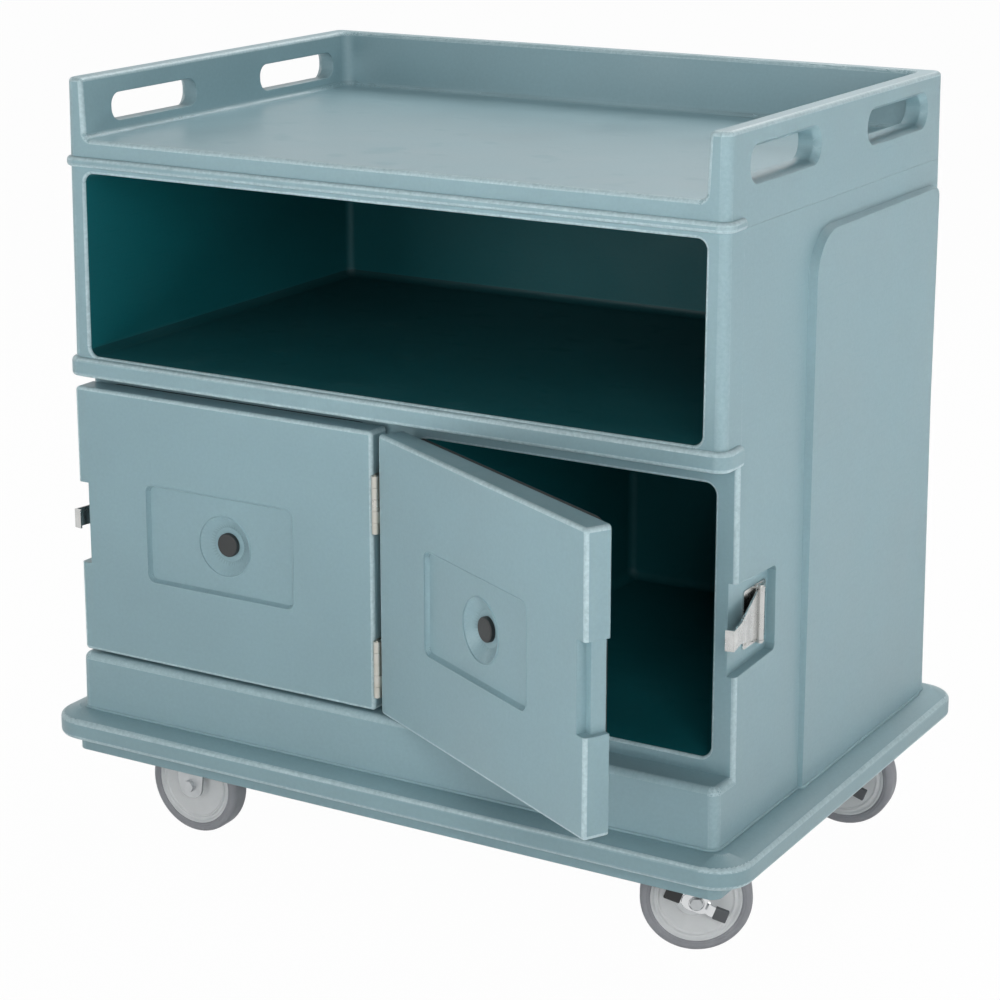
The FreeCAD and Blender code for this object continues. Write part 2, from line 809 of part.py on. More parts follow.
def knuckle(span):
    """One knuckle of a hinge, still without its bore."""
    low, length = span
    return Part.makeCylinder(hinge_knuckle_radius, length, V(0, pin_y, low))


def pin_bore(span, clearance):
    """Cutter for the pin's way through one knuckle and the leaf that joins it."""
    low, length = span
    return Part.makeCylinder(hinge_pin_radius + clearance, length, V(0, pin_y, low))


def door_leaf(middle, side):
    """Leaf on a door's hinge edge, with the one knuckle that belongs to that door."""
    span = knuckle_spans(middle)[1 if side > 0 else 3]
    low, length = span
    outer = door_gap / 2
    inner = outer - hinge_leaf_thickness
    relief = pin_y + hinge_leaf_relief
    plate = box(inner, outer, relief, pin_y + hinge_leaf_depth, middle - hinge_height / 2,
                middle + hinge_height / 2)
    tab = box(inner, outer, pin_y, relief, low, low + length)
    if side < 0:
        plate = mirrored(plate)
        tab = mirrored(tab)
    leaf = fused([plate, tab, knuckle(span)])
    return leaf.cut(pin_bore(span, hinge_running_clearance))


def body_leaf(middle):
    """Leaf that carries one pin: a web between the doors and a flange on the mullion."""
    low = middle - hinge_height / 2
    high = middle + hinge_height / 2
    half = hinge_leaf_thickness / 2
    web = box(-half, half, pin_y + hinge_leaf_relief, set_back_y, low, high)
    flange_half = hinge_flange_width / 2
    flange = box(-flange_half, flange_half, set_back_y - hinge_flange_thickness, set_back_y, low, high)
    pieces = [web, flange]
    bores = []
    for span in knuckle_spans(middle)[0::2]:
        bottom, length = span
        pieces.append(knuckle(span))
        pieces.append(box(-half, half, pin_y, pin_y + hinge_leaf_relief, bottom, bottom + length))
        bores.append(pin_bore(span, 0.0))
    return fused(pieces).cut(bores)


def hinge_pin(middle):
    """Pin of one hinge, with a little overhang at both ends."""
    low = middle - hinge_height / 2 - hinge_pin_overhang
    return Part.makeCylinder(hinge_pin_radius, hinge_height + 2 * hinge_pin_overhang, V(0, pin_y, low))


def body_leaf_screws():
    """Four screws through each flange into the mullion."""
    screws = []
    face = set_back_y - hinge_flange_thickness
    for middle in hinge_levels:
        for x in (-hinge_screw_spacing_x / 2, hinge_screw_spacing_x / 2):
            for z in (middle - hinge_screw_spacing_z / 2, middle + hinge_screw_spacing_z / 2):
                screws.append(countersunk_screw(V(x, face, z), AXIS_Y, hinge_flange_thickness))
    return screws


def door_leaf_screws(side):
    """Three screws through each leaf into the door's hinge edge."""
    screws = []
    face = door_gap / 2 - hinge_leaf_thickness
    middle_y = pin_y + (hinge_leaf_relief + hinge_leaf_depth) / 2
    for middle in hinge_levels:
        for z in (middle - hinge_screw_spacing_z / 2, middle, middle + hinge_screw_spacing_z / 2):
            head = V(side * face, middle_y, z)
            screws.append(countersunk_screw(head, AXIS_X * side, hinge_leaf_thickness))
    return screws


def latch_pin_axis():
    """Foot of the right latch's pin axis, at the latch's middle height."""
    x = recess_floor() + latch_plate_thickness + latch_pin_rise
    return V(x, set_back_y + recess_length - latch_plate_margin - latch_pin_setback, latch_height)


def latch_base():
    """Plate on the recess floor with two ears that carry the pin, for the right side."""
    floor = recess_floor()
    face = floor + latch_plate_thickness
    end = set_back_y + recess_length - latch_plate_margin
    half = latch_plate_height / 2
    plan = rectangle(end - latch_plate_length, end, latch_height - half, latch_height + half)
    plate = side_prism(plan, latch_plate_radius, floor, face)
    axis = latch_pin_axis()
    pieces = [plate]
    bores = []
    for direction in (-1, 1):
        inner = latch_height + direction * (latch_barrel_length / 2 + latch_side_clearance)
        outer = inner + direction * latch_ear_thickness
        low = min(inner, outer)
        high = max(inner, outer)
        web = [(face, axis.y - latch_ear_radius), (axis.x, axis.y - latch_ear_radius)]
        web += [(axis.x + latch_ear_radius, axis.y), (face, axis.y - latch_ear_radius + latch_ear_length)]
        pieces.append(prism(web, 0, low, high))
        pieces.append(Part.makeCylinder(latch_ear_radius, latch_ear_thickness, V(axis.x, axis.y, low)))
        bores.append(Part.makeCylinder(latch_pin_radius, latch_ear_thickness, V(axis.x, axis.y, low)))
    return fused(pieces).cut(bores)


def latch_pin():
    """Pin through both ears with a flat head at each end, for the right side."""
    axis = latch_pin_axis()
    half = latch_barrel_length / 2 + latch_side_clearance + latch_ear_thickness
    shaft = Part.makeCylinder(latch_pin_radius, 2 * half, V(axis.x, axis.y, latch_height - half))
    lower = V(axis.x, axis.y, latch_height - half - latch_pin_head_height)
    upper = V(axis.x, axis.y, latch_height + half)
    heads = [Part.makeCylinder(latch_pin_head_radius, latch_pin_head_height, end) for end in (lower, upper)]
    return fused([shaft] + heads)


def latch_hook():
    """Hook of the right latch: a long barrel, an arm narrowing to a neck and an inturned lip at its end."""
    axis = latch_pin_axis()
    free = max(door_span(1))
    floor = free - notch_depth
    step_y = door_front_y + notch_step_thickness
    arm_inner = floor + latch_hook_floor_clearance
    arm_outer = arm_inner + latch_hook_thickness
    lip_back = step_y - latch_hook_step_clearance
    lip_front = lip_back - latch_hook_thickness
    barrel_half = latch_barrel_length / 2
    hook_half = latch_hook_width / 2
    barrel_low = V(axis.x, axis.y, latch_height - barrel_half)
    barrel = Part.makeCylinder(latch_barrel_radius, latch_barrel_length, barrel_low)
    neck_y = lip_front + latch_hook_neck_length
    upper = [(axis.y, barrel_half), (neck_y, hook_half), (lip_front, hook_half)]
    corners = [(y, latch_height + z) for y, z in upper]
    corners += [(y, latch_height - z) for y, z in reversed(upper)]
    arm = side_prism(corners, 0, arm_inner, arm_outer)
    lip = box(floor - latch_hook_bite, arm_outer, lip_front, lip_back, latch_height - hook_half,
              latch_height + hook_half)
    bore = Part.makeCylinder(latch_pin_radius + latch_running_clearance, latch_barrel_length, barrel_low)
    hook = fused([barrel, arm, lip]).cut(bore)
    hook.rotate(axis, AXIS_Z, latch_released_angle)
    return hook


def latch_screws():
    """Four screws at the corners of the right latch's plate."""
    end = set_back_y + recess_length - latch_plate_margin
    face = recess_floor() + latch_plate_thickness
    inset = screw_head_radius + latch_plate_radius
    screws = []
    for y in (end - latch_plate_length + inset, end - inset):
        for direction in (-1, 1):
            z = latch_height + direction * (latch_plate_height / 2 - inset)
            screws.append(countersunk_screw(V(face, y, z), -AXIS_X, latch_plate_thickness))
    return screws


def placed(shape, place, angle):
    """Turn a caster piece about its upright axis and move it to its place under the base."""
    shape = shape.copy()
    shape.rotate(V(), AXIS_Z, angle)
    shape.translate(V(place[0], place[1], 0))
    return shape


def caster_plate():
    """Mounting plate with four bolt holes, about the origin."""
    half_length = caster_plate_length / 2
    half_width = caster_plate_width / 2
    plan = rectangle(-half_length, half_length, -half_width, half_width)
    plate = prism(plan, caster_plate_radius, caster_plate_bottom, pocket_ceiling_height)
    holes = [Part.makeCylinder(caster_bolt_radius, pocket_ceiling_height, point) for point in bolt_points(0)]
    return plate.cut(holes)


def bolt_points(level):
    """The four bolt places of a caster plate about the origin."""
    x = caster_bolt_spacing_x / 2
    y = caster_bolt_spacing_y / 2
    return [V(sx * x, sy * y, level) for sx in (-1, 1) for sy in (-1, 1)]


def hexagon(radius):
    """Corners of a hexagon whose corner circle has the given radius."""
    return [(radius * math.cos(k * math.pi / 3), radius * math.sin(k * math.pi / 3)) for k in range(6)]


def plate_bolts():
    """Four hexagon bolts of one caster, heads under the plate and shanks up into the base."""
    bolts = []
    for point in bolt_points(caster_plate_bottom):
        head = prism(hexagon(caster_bolt_head_radius), 0, 0, caster_bolt_head_height)
        head.translate(point - V(0, 0, caster_bolt_head_height))
        length = caster_plate_thickness + caster_bolt_depth
        bolts.append(fused([head, Part.makeCylinder(caster_bolt_radius, length, point)]))
    return bolts


def fork_leg(top, top_half, trail):
    """One flat fork leg seen from the side: straight flanks down to a round end about the axle."""
    tip = fork_leg_tip_width / 2
    corners = [(-top_half, top), (trail - tip, wheel_radius - tip), (trail + tip, wheel_radius - tip)]
    corners += [(top_half, top)]
    radii = [0, fork_leg_tip_radius, fork_leg_tip_radius, 0]
    leg = facing_front(prism(corners, radii, 0, fork_leg_thickness))
    bore = Part.makeCylinder(axle_radius, fork_leg_thickness, V(trail, 0, wheel_radius), -AXIS_Y)
    return leg.cut(bore)


def fork_legs(top, trail):
    """Both legs of a fork, on either side of the wheel."""
    near = fork_leg(top, fork_leg_top_width / 2, trail)
    far = near.copy()
    near.translate(V(0, -fork_inner, 0))
    far.translate(V(0, fork_outer, 0))
    return [near, far]


def rigid_fork():
    """Rigid caster frame: plate, crown and two legs welded into one piece."""
    half = fork_leg_top_width / 2
    top = caster_plate_bottom
    crown = box(-half, half, -fork_outer, fork_outer, top - fork_crown_thickness, top)
    return fused([caster_plate(), crown] + fork_legs(top - fork_crown_thickness, 0.0))


def ball_race(level, direction):
    """Ring groove for the swivel balls, cut into a flat face at the given level."""
    middle = level + direction * (swivel_ball_radius - race_groove_depth)
    return Part.makeTorus(swivel_race_radius, swivel_ball_radius + swivel_clearance, V(0, 0, middle))


def swivel_plate():
    """Fixed plate of a swivel caster with its ball race and the hole for the kingpin."""
    groove = ball_race(caster_plate_bottom, -1)
    hole = Part.makeCylinder(kingpin_radius, pocket_ceiling_height, V())
    return caster_plate().cut([groove, hole])


def swivel_fork():
    """Turning fork of a swivel caster: round crown with the lower ball race, and two legs."""
    top = swivel_crown_top
    bottom = top - fork_crown_thickness
    disc = Part.makeCylinder(swivel_crown_radius, fork_crown_thickness, V(0, 0, bottom))
    half = fork_leg_top_width / 2
    crown = box(-half, half, -fork_outer, fork_outer, bottom, top)
    fork = fused([disc, crown] + fork_legs(bottom, fork_trail))
    hole = Part.makeCylinder(kingpin_radius + kingpin_clearance, top, V())
    return fork.cut([hole, ball_race(top, 1)])


def swivel_balls():
    """Ring of steel balls between plate and fork."""
    level = swivel_crown_top + swivel_ball_radius - race_groove_depth
    balls = []
    for index in range(swivel_ball_count):
        angle = 2 * math.pi * index / swivel_ball_count
        centre = V(swivel_race_radius * math.cos(angle), swivel_race_radius * math.sin(angle), level)
        balls.append(Part.makeSphere(swivel_ball_radius, centre))
    return Part.makeCompound(balls)


def kingpin():
    """Pivot of a swivel caster: fixed in the plate, with a round head under the fork's crown."""
    bottom = swivel_crown_top - fork_crown_thickness - swivel_clearance
    shaft = Part.makeCylinder(kingpin_radius, pocket_ceiling_height - bottom, V(0, 0, bottom))
    head_low = V(0, 0, bottom - kingpin_head_height)
    return fused([shaft, Part.makeCylinder(kingpin_head_radius, kingpin_head_height, head_low)])


def lathed(profile, trail):
    """Turn a profile of (radius, width) points about the axle, which lies along Y."""
    points = [V(trail + radius, width, wheel_radius) for radius, width in profile]
    face = Part.Face(Part.makePolygon(points + [points[0]]))
    return face.revolve(V(trail, 0, wheel_radius), AXIS_Y, 360)


def wheel_hub(trail):
    """Moulded hub: boss round the sleeve, a thin web and a wide rim under the tyre."""
    bore = sleeve_radius + sleeve_clearance
    boss = hub_width / 2
    web = hub_web_thickness / 2
    rim = hub_rim_width / 2
    rim_inner = hub_radius - hub_rim_thickness
    profile = [(bore, -boss), (hub_boss_radius, -boss), (hub_boss_radius, -web), (rim_inner, -web)]
    profile += [(rim_inner, -rim), (hub_radius, -rim), (hub_radius, rim), (rim_inner, rim)]
    profile += [(rim_inner, web), (hub_boss_radius, web), (hub_boss_radius, boss), (bore, boss)]
    return lathed(profile, trail)


def tyre(trail):
    """Rubber tyre bonded on the hub, with round shoulders."""
    half = tyre_width / 2
    profile = [(hub_radius, -half), (wheel_radius, -half), (wheel_radius, half), (hub_radius, half)]
    ring = lathed(profile, trail)
    shoulders = []
    for edge in ring.Edges:
        bounds = edge.BoundBox
        if bounds.ZLength > 2 * hub_radius + tyre_thickness and bounds.YLength < TOUCH:
            shoulders.append(edge)
    return ring.makeFillet(tyre_shoulder_radius, shoulders)


def axle_sleeve(trail):
    """Steel tube clamped between the fork legs, on which the wheel turns."""
    start = V(trail, -fork_inner, wheel_radius)
    tube = Part.makeCylinder(sleeve_radius, 2 * fork_inner, start, AXIS_Y)
    return tube.cut(Part.makeCylinder(axle_radius, 2 * fork_inner, start, AXIS_Y))


def axle_bolt(trail, seat):
    """Axle bolt and its nut: the head is seated at the given distance on the outer side."""
    turn = FreeCAD.Placement(V(trail, 0, wheel_radius), FreeCAD.Rotation(AXIS_X, 90)).toMatrix()
    head = prism(hexagon(axle_head_radius), 0, seat, seat + axle_head_height).transformed(turn)
    nut_top = -fork_outer
    nut = prism(hexagon(axle_head_radius), 0, nut_top - axle_nut_height, nut_top).transformed(turn)
    length = seat + fork_outer + axle_nut_height
    shank = Part.makeCylinder(axle_radius, length, V(trail, -seat, wheel_radius), AXIS_Y)
    bolt = fused([head, shank])
    return Part.makeCompound([bolt, nut.cut(shank)])


def brake_pedal():
    """Rocker lever of the wheel brake on the outer fork leg, with one end stepped outwards."""
    half = pedal_length / 2
    bend_start = pedal_bend_start
    near = fork_outer + pedal_side_clearance
    bar = [(-half, near), (bend_start, near), (bend_start + pedal_bend, near + pedal_bend)]
    bar += [(half, near + pedal_bend), (half, near + pedal_bend + pedal_thickness)]
    bar += [(bend_start + pedal_bend - pedal_thickness / 2, near + pedal_bend + pedal_thickness)]
    bar += [(bend_start - pedal_thickness / 2, near + pedal_thickness), (-half, near + pedal_thickness)]
    lever = prism([(x, -y) for x, y in bar], 0, -pedal_width / 2, pedal_width / 2)
    plan = rectangle(-half, half, -pedal_width / 2, pedal_width / 2)
    ends = front_prism(plan, pedal_end_radius, -2 * (near + pedal_bend), 0)
    bore = Part.makeCylinder(axle_radius + swivel_clearance, 2 * (near + pedal_bend), V(), -AXIS_Y)
    lever = lever.common(ends).cut(bore)
    lever.rotate(V(), AXIS_Y, -pedal_rest_angle)
    lever.translate(V(fork_trail, 0, wheel_radius))
    return lever


def add_caster_wheel(parts, name, trail, seat, place, angle):
    """Wheel, sleeve and axle of one caster."""
    parts[name + "_axle"] = placed(axle_bolt(trail, seat), place, angle)
    parts[name + "_axle_sleeve"] = placed(axle_sleeve(trail), place, angle)
    parts[name + "_wheel_hub"] = placed(wheel_hub(trail), place, angle)
    parts[name + "_tyre"] = placed(tyre(trail), place, angle)


def add_casters(parts):
    """All four casters and their mounting bolts."""
    bolts = []
    for name, y in (("front_left", -caster_y), ("back_left", caster_y)):
        place = (-rigid_caster_x, y)
        parts[name + "_fork"] = placed(rigid_fork(), place, 0.0)
        add_caster_wheel(parts, name, 0.0, fork_outer, place, 0.0)
        bolts += [placed(bolt, place, 0.0) for bolt in plate_bolts()]
    seat = fork_outer + 2 * pedal_side_clearance + pedal_thickness
    for name, y, angle in (("front_right", -caster_y, front_swivel_rest_angle),
                           ("back_right", caster_y, back_swivel_rest_angle)):
        place = (swivel_caster_x, y)
        parts[name + "_swivel_plate"] = placed(swivel_plate(), place, 0.0)
        parts[name + "_kingpin"] = placed(kingpin(), place, 0.0)
        parts[name + "_swivel_balls"] = placed(swivel_balls(), place, angle)
        parts[name + "_fork"] = placed(swivel_fork(), place, angle)
        parts[name + "_brake_pedal"] = placed(brake_pedal(), place, angle)
        add_caster_wheel(parts, name, fork_trail, seat, place, angle)
        bolts += [placed(bolt, place, 0.0) for bolt in plate_bolts()]
    parts["caster_bolts"] = Part.makeCompound(bolts)
    return bolts


def add_doors(parts):
    """Both doors with their foam, seals, vent plugs and hinge leaves."""
    for name, side in (("left", -1), ("right", 1)):
        foam = door_foam(side)
        screws = door_leaf_screws(side)
        leaves = [door_leaf(middle, side).cut(screws) for middle in hinge_levels]
        shell = door_solid(side).cut([foam] + screws)
        parts[name + "_door_shell"] = swung(shell, side)
        parts[name + "_door_foam"] = swung(foam, side)
        parts[name + "_door_gasket"] = swung(door_gasket(side), side)
        parts[name + "_vent_plug"] = swung(vent_plug(side), side)
        parts[name + "_door_leaves"] = swung(Part.makeCompound(leaves), side)
        parts[name + "_door_leaf_screws"] = swung(Part.makeCompound(screws), side)


def add_body(parts):
    """Cabinet, tray and base, with the hinges and latches that are fixed to the cabinet."""
    hinge_screws = body_leaf_screws()
    plate_screws = latch_screws()
    base_of_latch = latch_base().cut(plate_screws)
    all_screws = hinge_screws + plate_screws + [mirrored(screw) for screw in plate_screws]
    foam = cabinet_foam()
    parts["cabinet_foam"] = foam
    parts["cabinet_shell"] = cabinet_solid().cut([foam] + all_screws)
    parts["top_tray"] = top_tray()
    leaves = [body_leaf(middle).cut(hinge_screws) for middle in hinge_levels]
    parts["hinge_body_leaves"] = Part.makeCompound(leaves)
    parts["hinge_pins"] = Part.makeCompound([hinge_pin(middle) for middle in hinge_levels])
    parts["hinge_body_screws"] = Part.makeCompound(hinge_screws)
    pieces = {"base": base_of_latch, "pin": latch_pin(), "hook": latch_hook()}
    pieces["screws"] = Part.makeCompound(plate_screws)
    for piece, shape in pieces.items():
        parts["right_latch_" + piece] = shape
        parts["left_latch_" + piece] = mirrored(shape)


def build():
    """Every node of the cart by name."""
    parts = {}
    add_body(parts)
    add_doors(parts)
    bolts = add_casters(parts)
    parts["base_moulding"] = base_moulding().cut(bolts)
    return parts


os.makedirs("parts", exist_ok=True)
for node, solid in build().items():
    solid.exportStep("parts/" + node + ".step")
    print(node, len(solid.Solids), solid.isValid(), round(solid.Volume))
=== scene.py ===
import json
import math

import bpy
import numpy as np
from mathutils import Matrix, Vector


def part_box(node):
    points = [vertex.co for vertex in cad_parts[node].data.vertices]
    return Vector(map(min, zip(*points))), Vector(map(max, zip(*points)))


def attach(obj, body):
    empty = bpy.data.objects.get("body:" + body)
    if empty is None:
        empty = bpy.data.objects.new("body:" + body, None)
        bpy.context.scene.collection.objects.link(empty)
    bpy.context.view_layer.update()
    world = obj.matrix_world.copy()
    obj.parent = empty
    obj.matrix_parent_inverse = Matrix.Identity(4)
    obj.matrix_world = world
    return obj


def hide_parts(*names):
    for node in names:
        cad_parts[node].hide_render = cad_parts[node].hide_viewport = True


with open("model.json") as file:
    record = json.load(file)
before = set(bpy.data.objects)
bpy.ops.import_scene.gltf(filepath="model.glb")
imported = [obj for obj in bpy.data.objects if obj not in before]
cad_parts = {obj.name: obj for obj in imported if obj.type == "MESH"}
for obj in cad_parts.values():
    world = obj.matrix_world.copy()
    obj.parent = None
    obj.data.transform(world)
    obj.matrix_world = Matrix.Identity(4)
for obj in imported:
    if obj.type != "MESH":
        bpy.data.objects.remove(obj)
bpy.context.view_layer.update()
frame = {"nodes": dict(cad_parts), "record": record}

# Cabinet shell
# One hollow rotation-moulded polyethylene shell in slate blue, with an open shelf above and two
# cavities behind the doors. Every edge comes off the mould soft, and the skin has a fine orange peel.


def read(items, attribute, width, kind=float):
    """One attribute of all the vertices, edges, loops or faces of a mesh, a row for each."""
    values = np.empty(len(items) * width, kind)
    items.foreach_get(attribute, values)
    return values.reshape(-1, width)


def smooth_copy(node, name, angle=32):
    """A node's loose triangles joined where corners share a place, shaded smooth up to an angle."""
    source = frame["nodes"][node].data
    places = read(source.vertices, "co", 3)
    corners = read(source.loops, "vertex_index", 1, np.int32)
    microns = np.round(places * 1e6).astype(np.int64)
    _, first, joined = np.unique(microns, axis=0, return_index=True, return_inverse=True)
    faces = joined.ravel()[corners].reshape(-1, 3)
    whole = (faces[:, 0] != faces[:, 1]) & (faces[:, 1] != faces[:, 2]) & (faces[:, 2] != faces[:, 0])
    return shaded(name, places[first], faces[whole], angle)


def shaded(name, places, faces, angle):
    """A mesh object from points and faces, smooth except along edges sharper than the angle."""
    mesh = bpy.data.meshes.new(name)
    mesh.from_pydata(places.tolist(), [], faces.tolist())
    mesh.validate()
    mesh.shade_smooth()
    mesh.set_sharp_from_angle(angle=math.radians(angle))
    piece = bpy.data.objects.new(name, mesh)
    bpy.context.scene.collection.objects.link(piece)
    even = piece.modifiers.new("even_shading", "WEIGHTED_NORMAL")
    even.keep_sharp = True
    return piece


def mark_edges(piece):
    """Store on each face how sharply the piece bends there: over its sides, the angle to the neighbour
    times the side's length, plus on a ridge and minus in a groove, divided by twice the face's area.
    A side that turns by more than the crease is a plain corner and counts for nothing."""
    crease = math.radians(35)
    least_area = 1e-12
    mesh = piece.data
    places = read(mesh.vertices, "co", 3)
    corners = read(mesh.polygons, "vertices", 3, np.int32)
    count = len(corners)
    first, second, third = (places[corners[:, k]] for k in range(3))
    normal = np.cross(second - first, third - first)
    twice_area = np.maximum(np.linalg.norm(normal, axis=1), least_area)
    normal /= twice_area[:, None]
    middle = (first + second + third) / 3
    sides = np.stack([corners, np.roll(corners, -1, axis=1)], axis=-1).reshape(-1, 2)
    sides = np.sort(sides, axis=1)
    order = np.lexsort((sides[:, 1], sides[:, 0]))
    shared = (sides[order[1:]] == sides[order[:-1]]).all(axis=1)
    here, there = order[:-1][shared] // 3, order[1:][shared] // 3
    ends = places[sides[order[1:][shared]]]
    length = np.linalg.norm(ends[:, 1] - ends[:, 0], axis=1)
    angle = np.arccos(np.clip(np.einsum("ij,ij->i", normal[here], normal[there]), -1, 1))
    ridge = np.sign(np.einsum("ij,ij->i", middle[here] - middle[there], normal[here]))
    bend = np.where(angle < crease, ridge * angle, 0) * length
    total = np.bincount(here, bend, count) + np.bincount(there, bend, count)
    stored = mesh.attributes.new("edge_bend", "FLOAT", "FACE")
    stored.data.foreach_set("value", (total / twice_area).astype(np.float32))


def linear(code):
    """sRGB hex to the linear colour that shaders read: each channel by the standard sRGB curve."""
    channels = np.array([int(code[i:i + 2], 16) / 255 for i in (1, 3, 5)])
    low = channels / 12.92
    high = ((channels + 0.055) / 1.055) ** 2.4
    return (*np.where(channels <= 0.04045, low, high).tolist(), 1.0)


def add(tree, kind, settings, **links):
    """Add one shader node. Settings go to its inputs or properties, links come from other outputs. An
    input is named, or given by its number, which a link writes as _0, _1 and so on."""
    made = tree.nodes.new("ShaderNode" + kind)
    for key, value in settings.items():
        if isinstance(key, int) or key in made.inputs:
            made.inputs[key].default_value = value
        else:
            setattr(made, key, value)
    for key, output in links.items():
        number = key[1:]
        tree.links.new(output, made.inputs[int(number) if number.isdigit() else key])
    return made


def new_finish(name, **constants):
    """A new material, its node tree, its shader with the constants on its own sockets, and the piece's
    coordinates in metres."""
    material = bpy.data.materials.new(name)
    material.use_nodes = True
    tree = material.node_tree
    shader = tree.nodes["Principled BSDF"]
    for socket, value in constants.items():
        shader.inputs[socket].default_value = value
    return material, tree, shader, add(tree, "TexCoord", {}).outputs["Object"]


# The noise lies mostly between these two values, the inputs 1 and 2 of Map Range. Its inputs 3 and 4
# are the values that they become.
noise_span = {1: 0.3, 2: 0.7}


def moulded_polyethylene(name, colour, pale, shine):
    """Rotation-moulded polyethylene: mottled colour, orange peel, slow waves of a large flat wall,
    edges painted paler as highlight with some wear, grooves painted darker as shade, and fine scuffs."""
    material, tree, shader, place = new_finish(name, IOR=1.51)
    # Powder grains that fused unevenly leave mottles about 5 mm across; slow clouds are 160 mm.
    mottle = add(tree, "TexNoise", {"Scale": 1 / 0.005, "Detail": 3.0, "Roughness": 0.6}, Vector=place)
    cloud = add(tree, "TexNoise", {"Scale": 1 / 0.16, "Detail": 2.0}, Vector=place)
    spread = add(tree, "MapRange", {**noise_span, 3: 0.97, 4: 1.03}, _0=mottle.outputs["Fac"])
    drift = add(tree, "MapRange", {**noise_span, 3: 0.97, 4: 1.03}, _0=cloud.outputs["Fac"])
    tone = add(tree, "Math", {"operation": "MULTIPLY"}, _0=spread.outputs[0], _1=drift.outputs[0])
    toned = add(tree, "HueSaturation", {"Color": linear(colour)}, Value=tone.outputs[0])
    # Ridges of less than 20 mm radius are painted paler, most from about 6 mm down: a painted highlight with
    # some wear. Grooves are painted darker as shade.
    crease_shade_colour = linear("#4C5F63")
    # Painted highlight with some wear on ridges, painted shade in grooves, both read from the bend of the
    # faces.
    bend = add(tree, "Attribute", {"attribute_name": "edge_bend"}).outputs["Fac"]
    ridge = add(tree, "MapRange", {1: 1 / 0.02, 2: 1 / 0.00625, 3: 0.0, 4: 1.3}, _0=bend)
    worn_and_highlit = add(tree, "Math", {"operation": "MULTIPLY", "use_clamp": True},
               _0=ridge.outputs[0], _1=mottle.outputs["Fac"])
    highlit_and_rubbed = add(tree, "MixRGB", {2: linear(pale)}, _0=worn_and_highlit.outputs[0], _1=toned.outputs[0])
    # Painted shade: grooves are darkened towards the crease colour, more so under the slow clouds.
    groove = add(tree, "MapRange", {1: -1 / 0.02, 2: -1 / 0.00625, 3: 0.0, 4: 0.7}, _0=bend)
    crease_shade_amount = add(tree, "Math", {"operation": "MULTIPLY"}, _0=groove.outputs[0], _1=cloud.outputs["Fac"])
    finish = add(tree, "MixRGB", {2: crease_shade_colour}, _0=crease_shade_amount.outputs[0], _1=highlit_and_rubbed.outputs[0])
    tree.links.new(finish.outputs[0], shader.inputs["Base Color"])
    # Scuffs are drawn out along one way, about 1 mm wide and 60 mm long.
    scuff_scale, scuff_turn = (1 / 0.06, 1 / 0.05, 1 / 0.0012), (0.35, 0.2, 0.5)
    along = add(tree, "Mapping", {"Scale": scuff_scale, "Rotation": scuff_turn}, Vector=place)
    scuff = add(tree, "TexNoise", {"Scale": 1.0, "Detail": 1.0}, Vector=along.outputs[0])
    marks = add(tree, "MapRange", {1: 0.62, 2: 0.75, 3: 0.0, 4: 0.10}, _0=scuff.outputs["Fac"])
    gloss = add(tree, "MapRange", {**noise_span, 3: shine - 0.05, 4: shine + 0.05}, _0=cloud.outputs["Fac"])
    rough = add(tree, "Math", {"operation": "ADD"}, _0=gloss.outputs[0], _1=marks.outputs[0])
    tree.links.new(rough.outputs[0], shader.inputs["Roughness"])
    # Orange peel at 2.5 mm, drawn a little coarser than the real 1 mm so that it shows, on waves of
    # 110 mm and edges rounded by 2 mm.
    peel = add(tree, "TexNoise", {"Scale": 1 / 0.0025, "Detail": 2.0, "Roughness": 0.5}, Vector=place)
    waves = add(tree, "TexNoise", {"Scale": 1 / 0.11, "Detail": 1.0}, Vector=place)
    rounded = add(tree, "Bevel", {"samples": 6, "Radius": 0.002})
    swell = add(tree, "Bump", {"Strength": 0.30, "Distance": 0.004},
                Height=waves.outputs["Fac"], Normal=rounded.outputs[0])
    grain = add(tree, "Bump", {"Strength": 0.12, "Distance": 0.0006},
                Height=peel.outputs["Fac"], Normal=swell.outputs[0])
    tree.links.new(grain.outputs[0], shader.inputs["Normal"])
    return material


# Slate-blue polyethylene as it leaves the mould: soft sheen, no mirror.
slate = moulded_polyethylene("moulded_polyethylene_slate_blue", "#8BAAB2", "#C2D8DD", 0.40)
# The inner faces are the same slate plastic, painted a much darker teal as shade, most of all the floor of
# the shelf.
shelf_floor_painted_shade = moulded_polyethylene("polyethylene_shelf_floor_painted_shade", "#054B50", "#2C6B70", 0.55)
inner_wall_painted_shade = moulded_polyethylene("polyethylene_inner_walls_painted_shade", "#0B686F", "#2C8B90", 0.55)


def finish_piece(piece, body, material, node=None):
    """Give a piece its finish, let it ride on its body and, where it has one, stand for its node."""
    piece.data.materials.append(material)
    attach(piece, body)
    if node:
        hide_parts(node)


# The inner faces lie within these places in metres: just outside the walls of the shelf and of the cavity
# at each side of the mullion, and from behind the mouth's rounding. The shelf's floor takes in 10 mm of
# the rounding round it. All these faces are painted darker as shade.
hollow_side, hollow_back, mullion_side = 0.4850, 0.317, 0.0395
shelf_front, shelf_bottom, shelf_top, shelf_floor = -0.3420, 0.7345, 0.9975, 0.745
cavity_front, cavity_bottom, cavity_top = -0.3005, 0.3045, 0.6765
cabinet = smooth_copy("cabinet_shell", "cabinet_moulding")
mark_edges(cabinet)
across, deep, up = read(cabinet.data.polygons, "center", 3).T
across = np.abs(across)
inside = (across < hollow_side) & (deep < hollow_back)
shelf = inside & (deep > shelf_front) & (up > shelf_bottom) & (up < shelf_top)
cavity = inside & (across > mullion_side) & (deep > cavity_front) & (up > cavity_bottom) & (up < cavity_top)
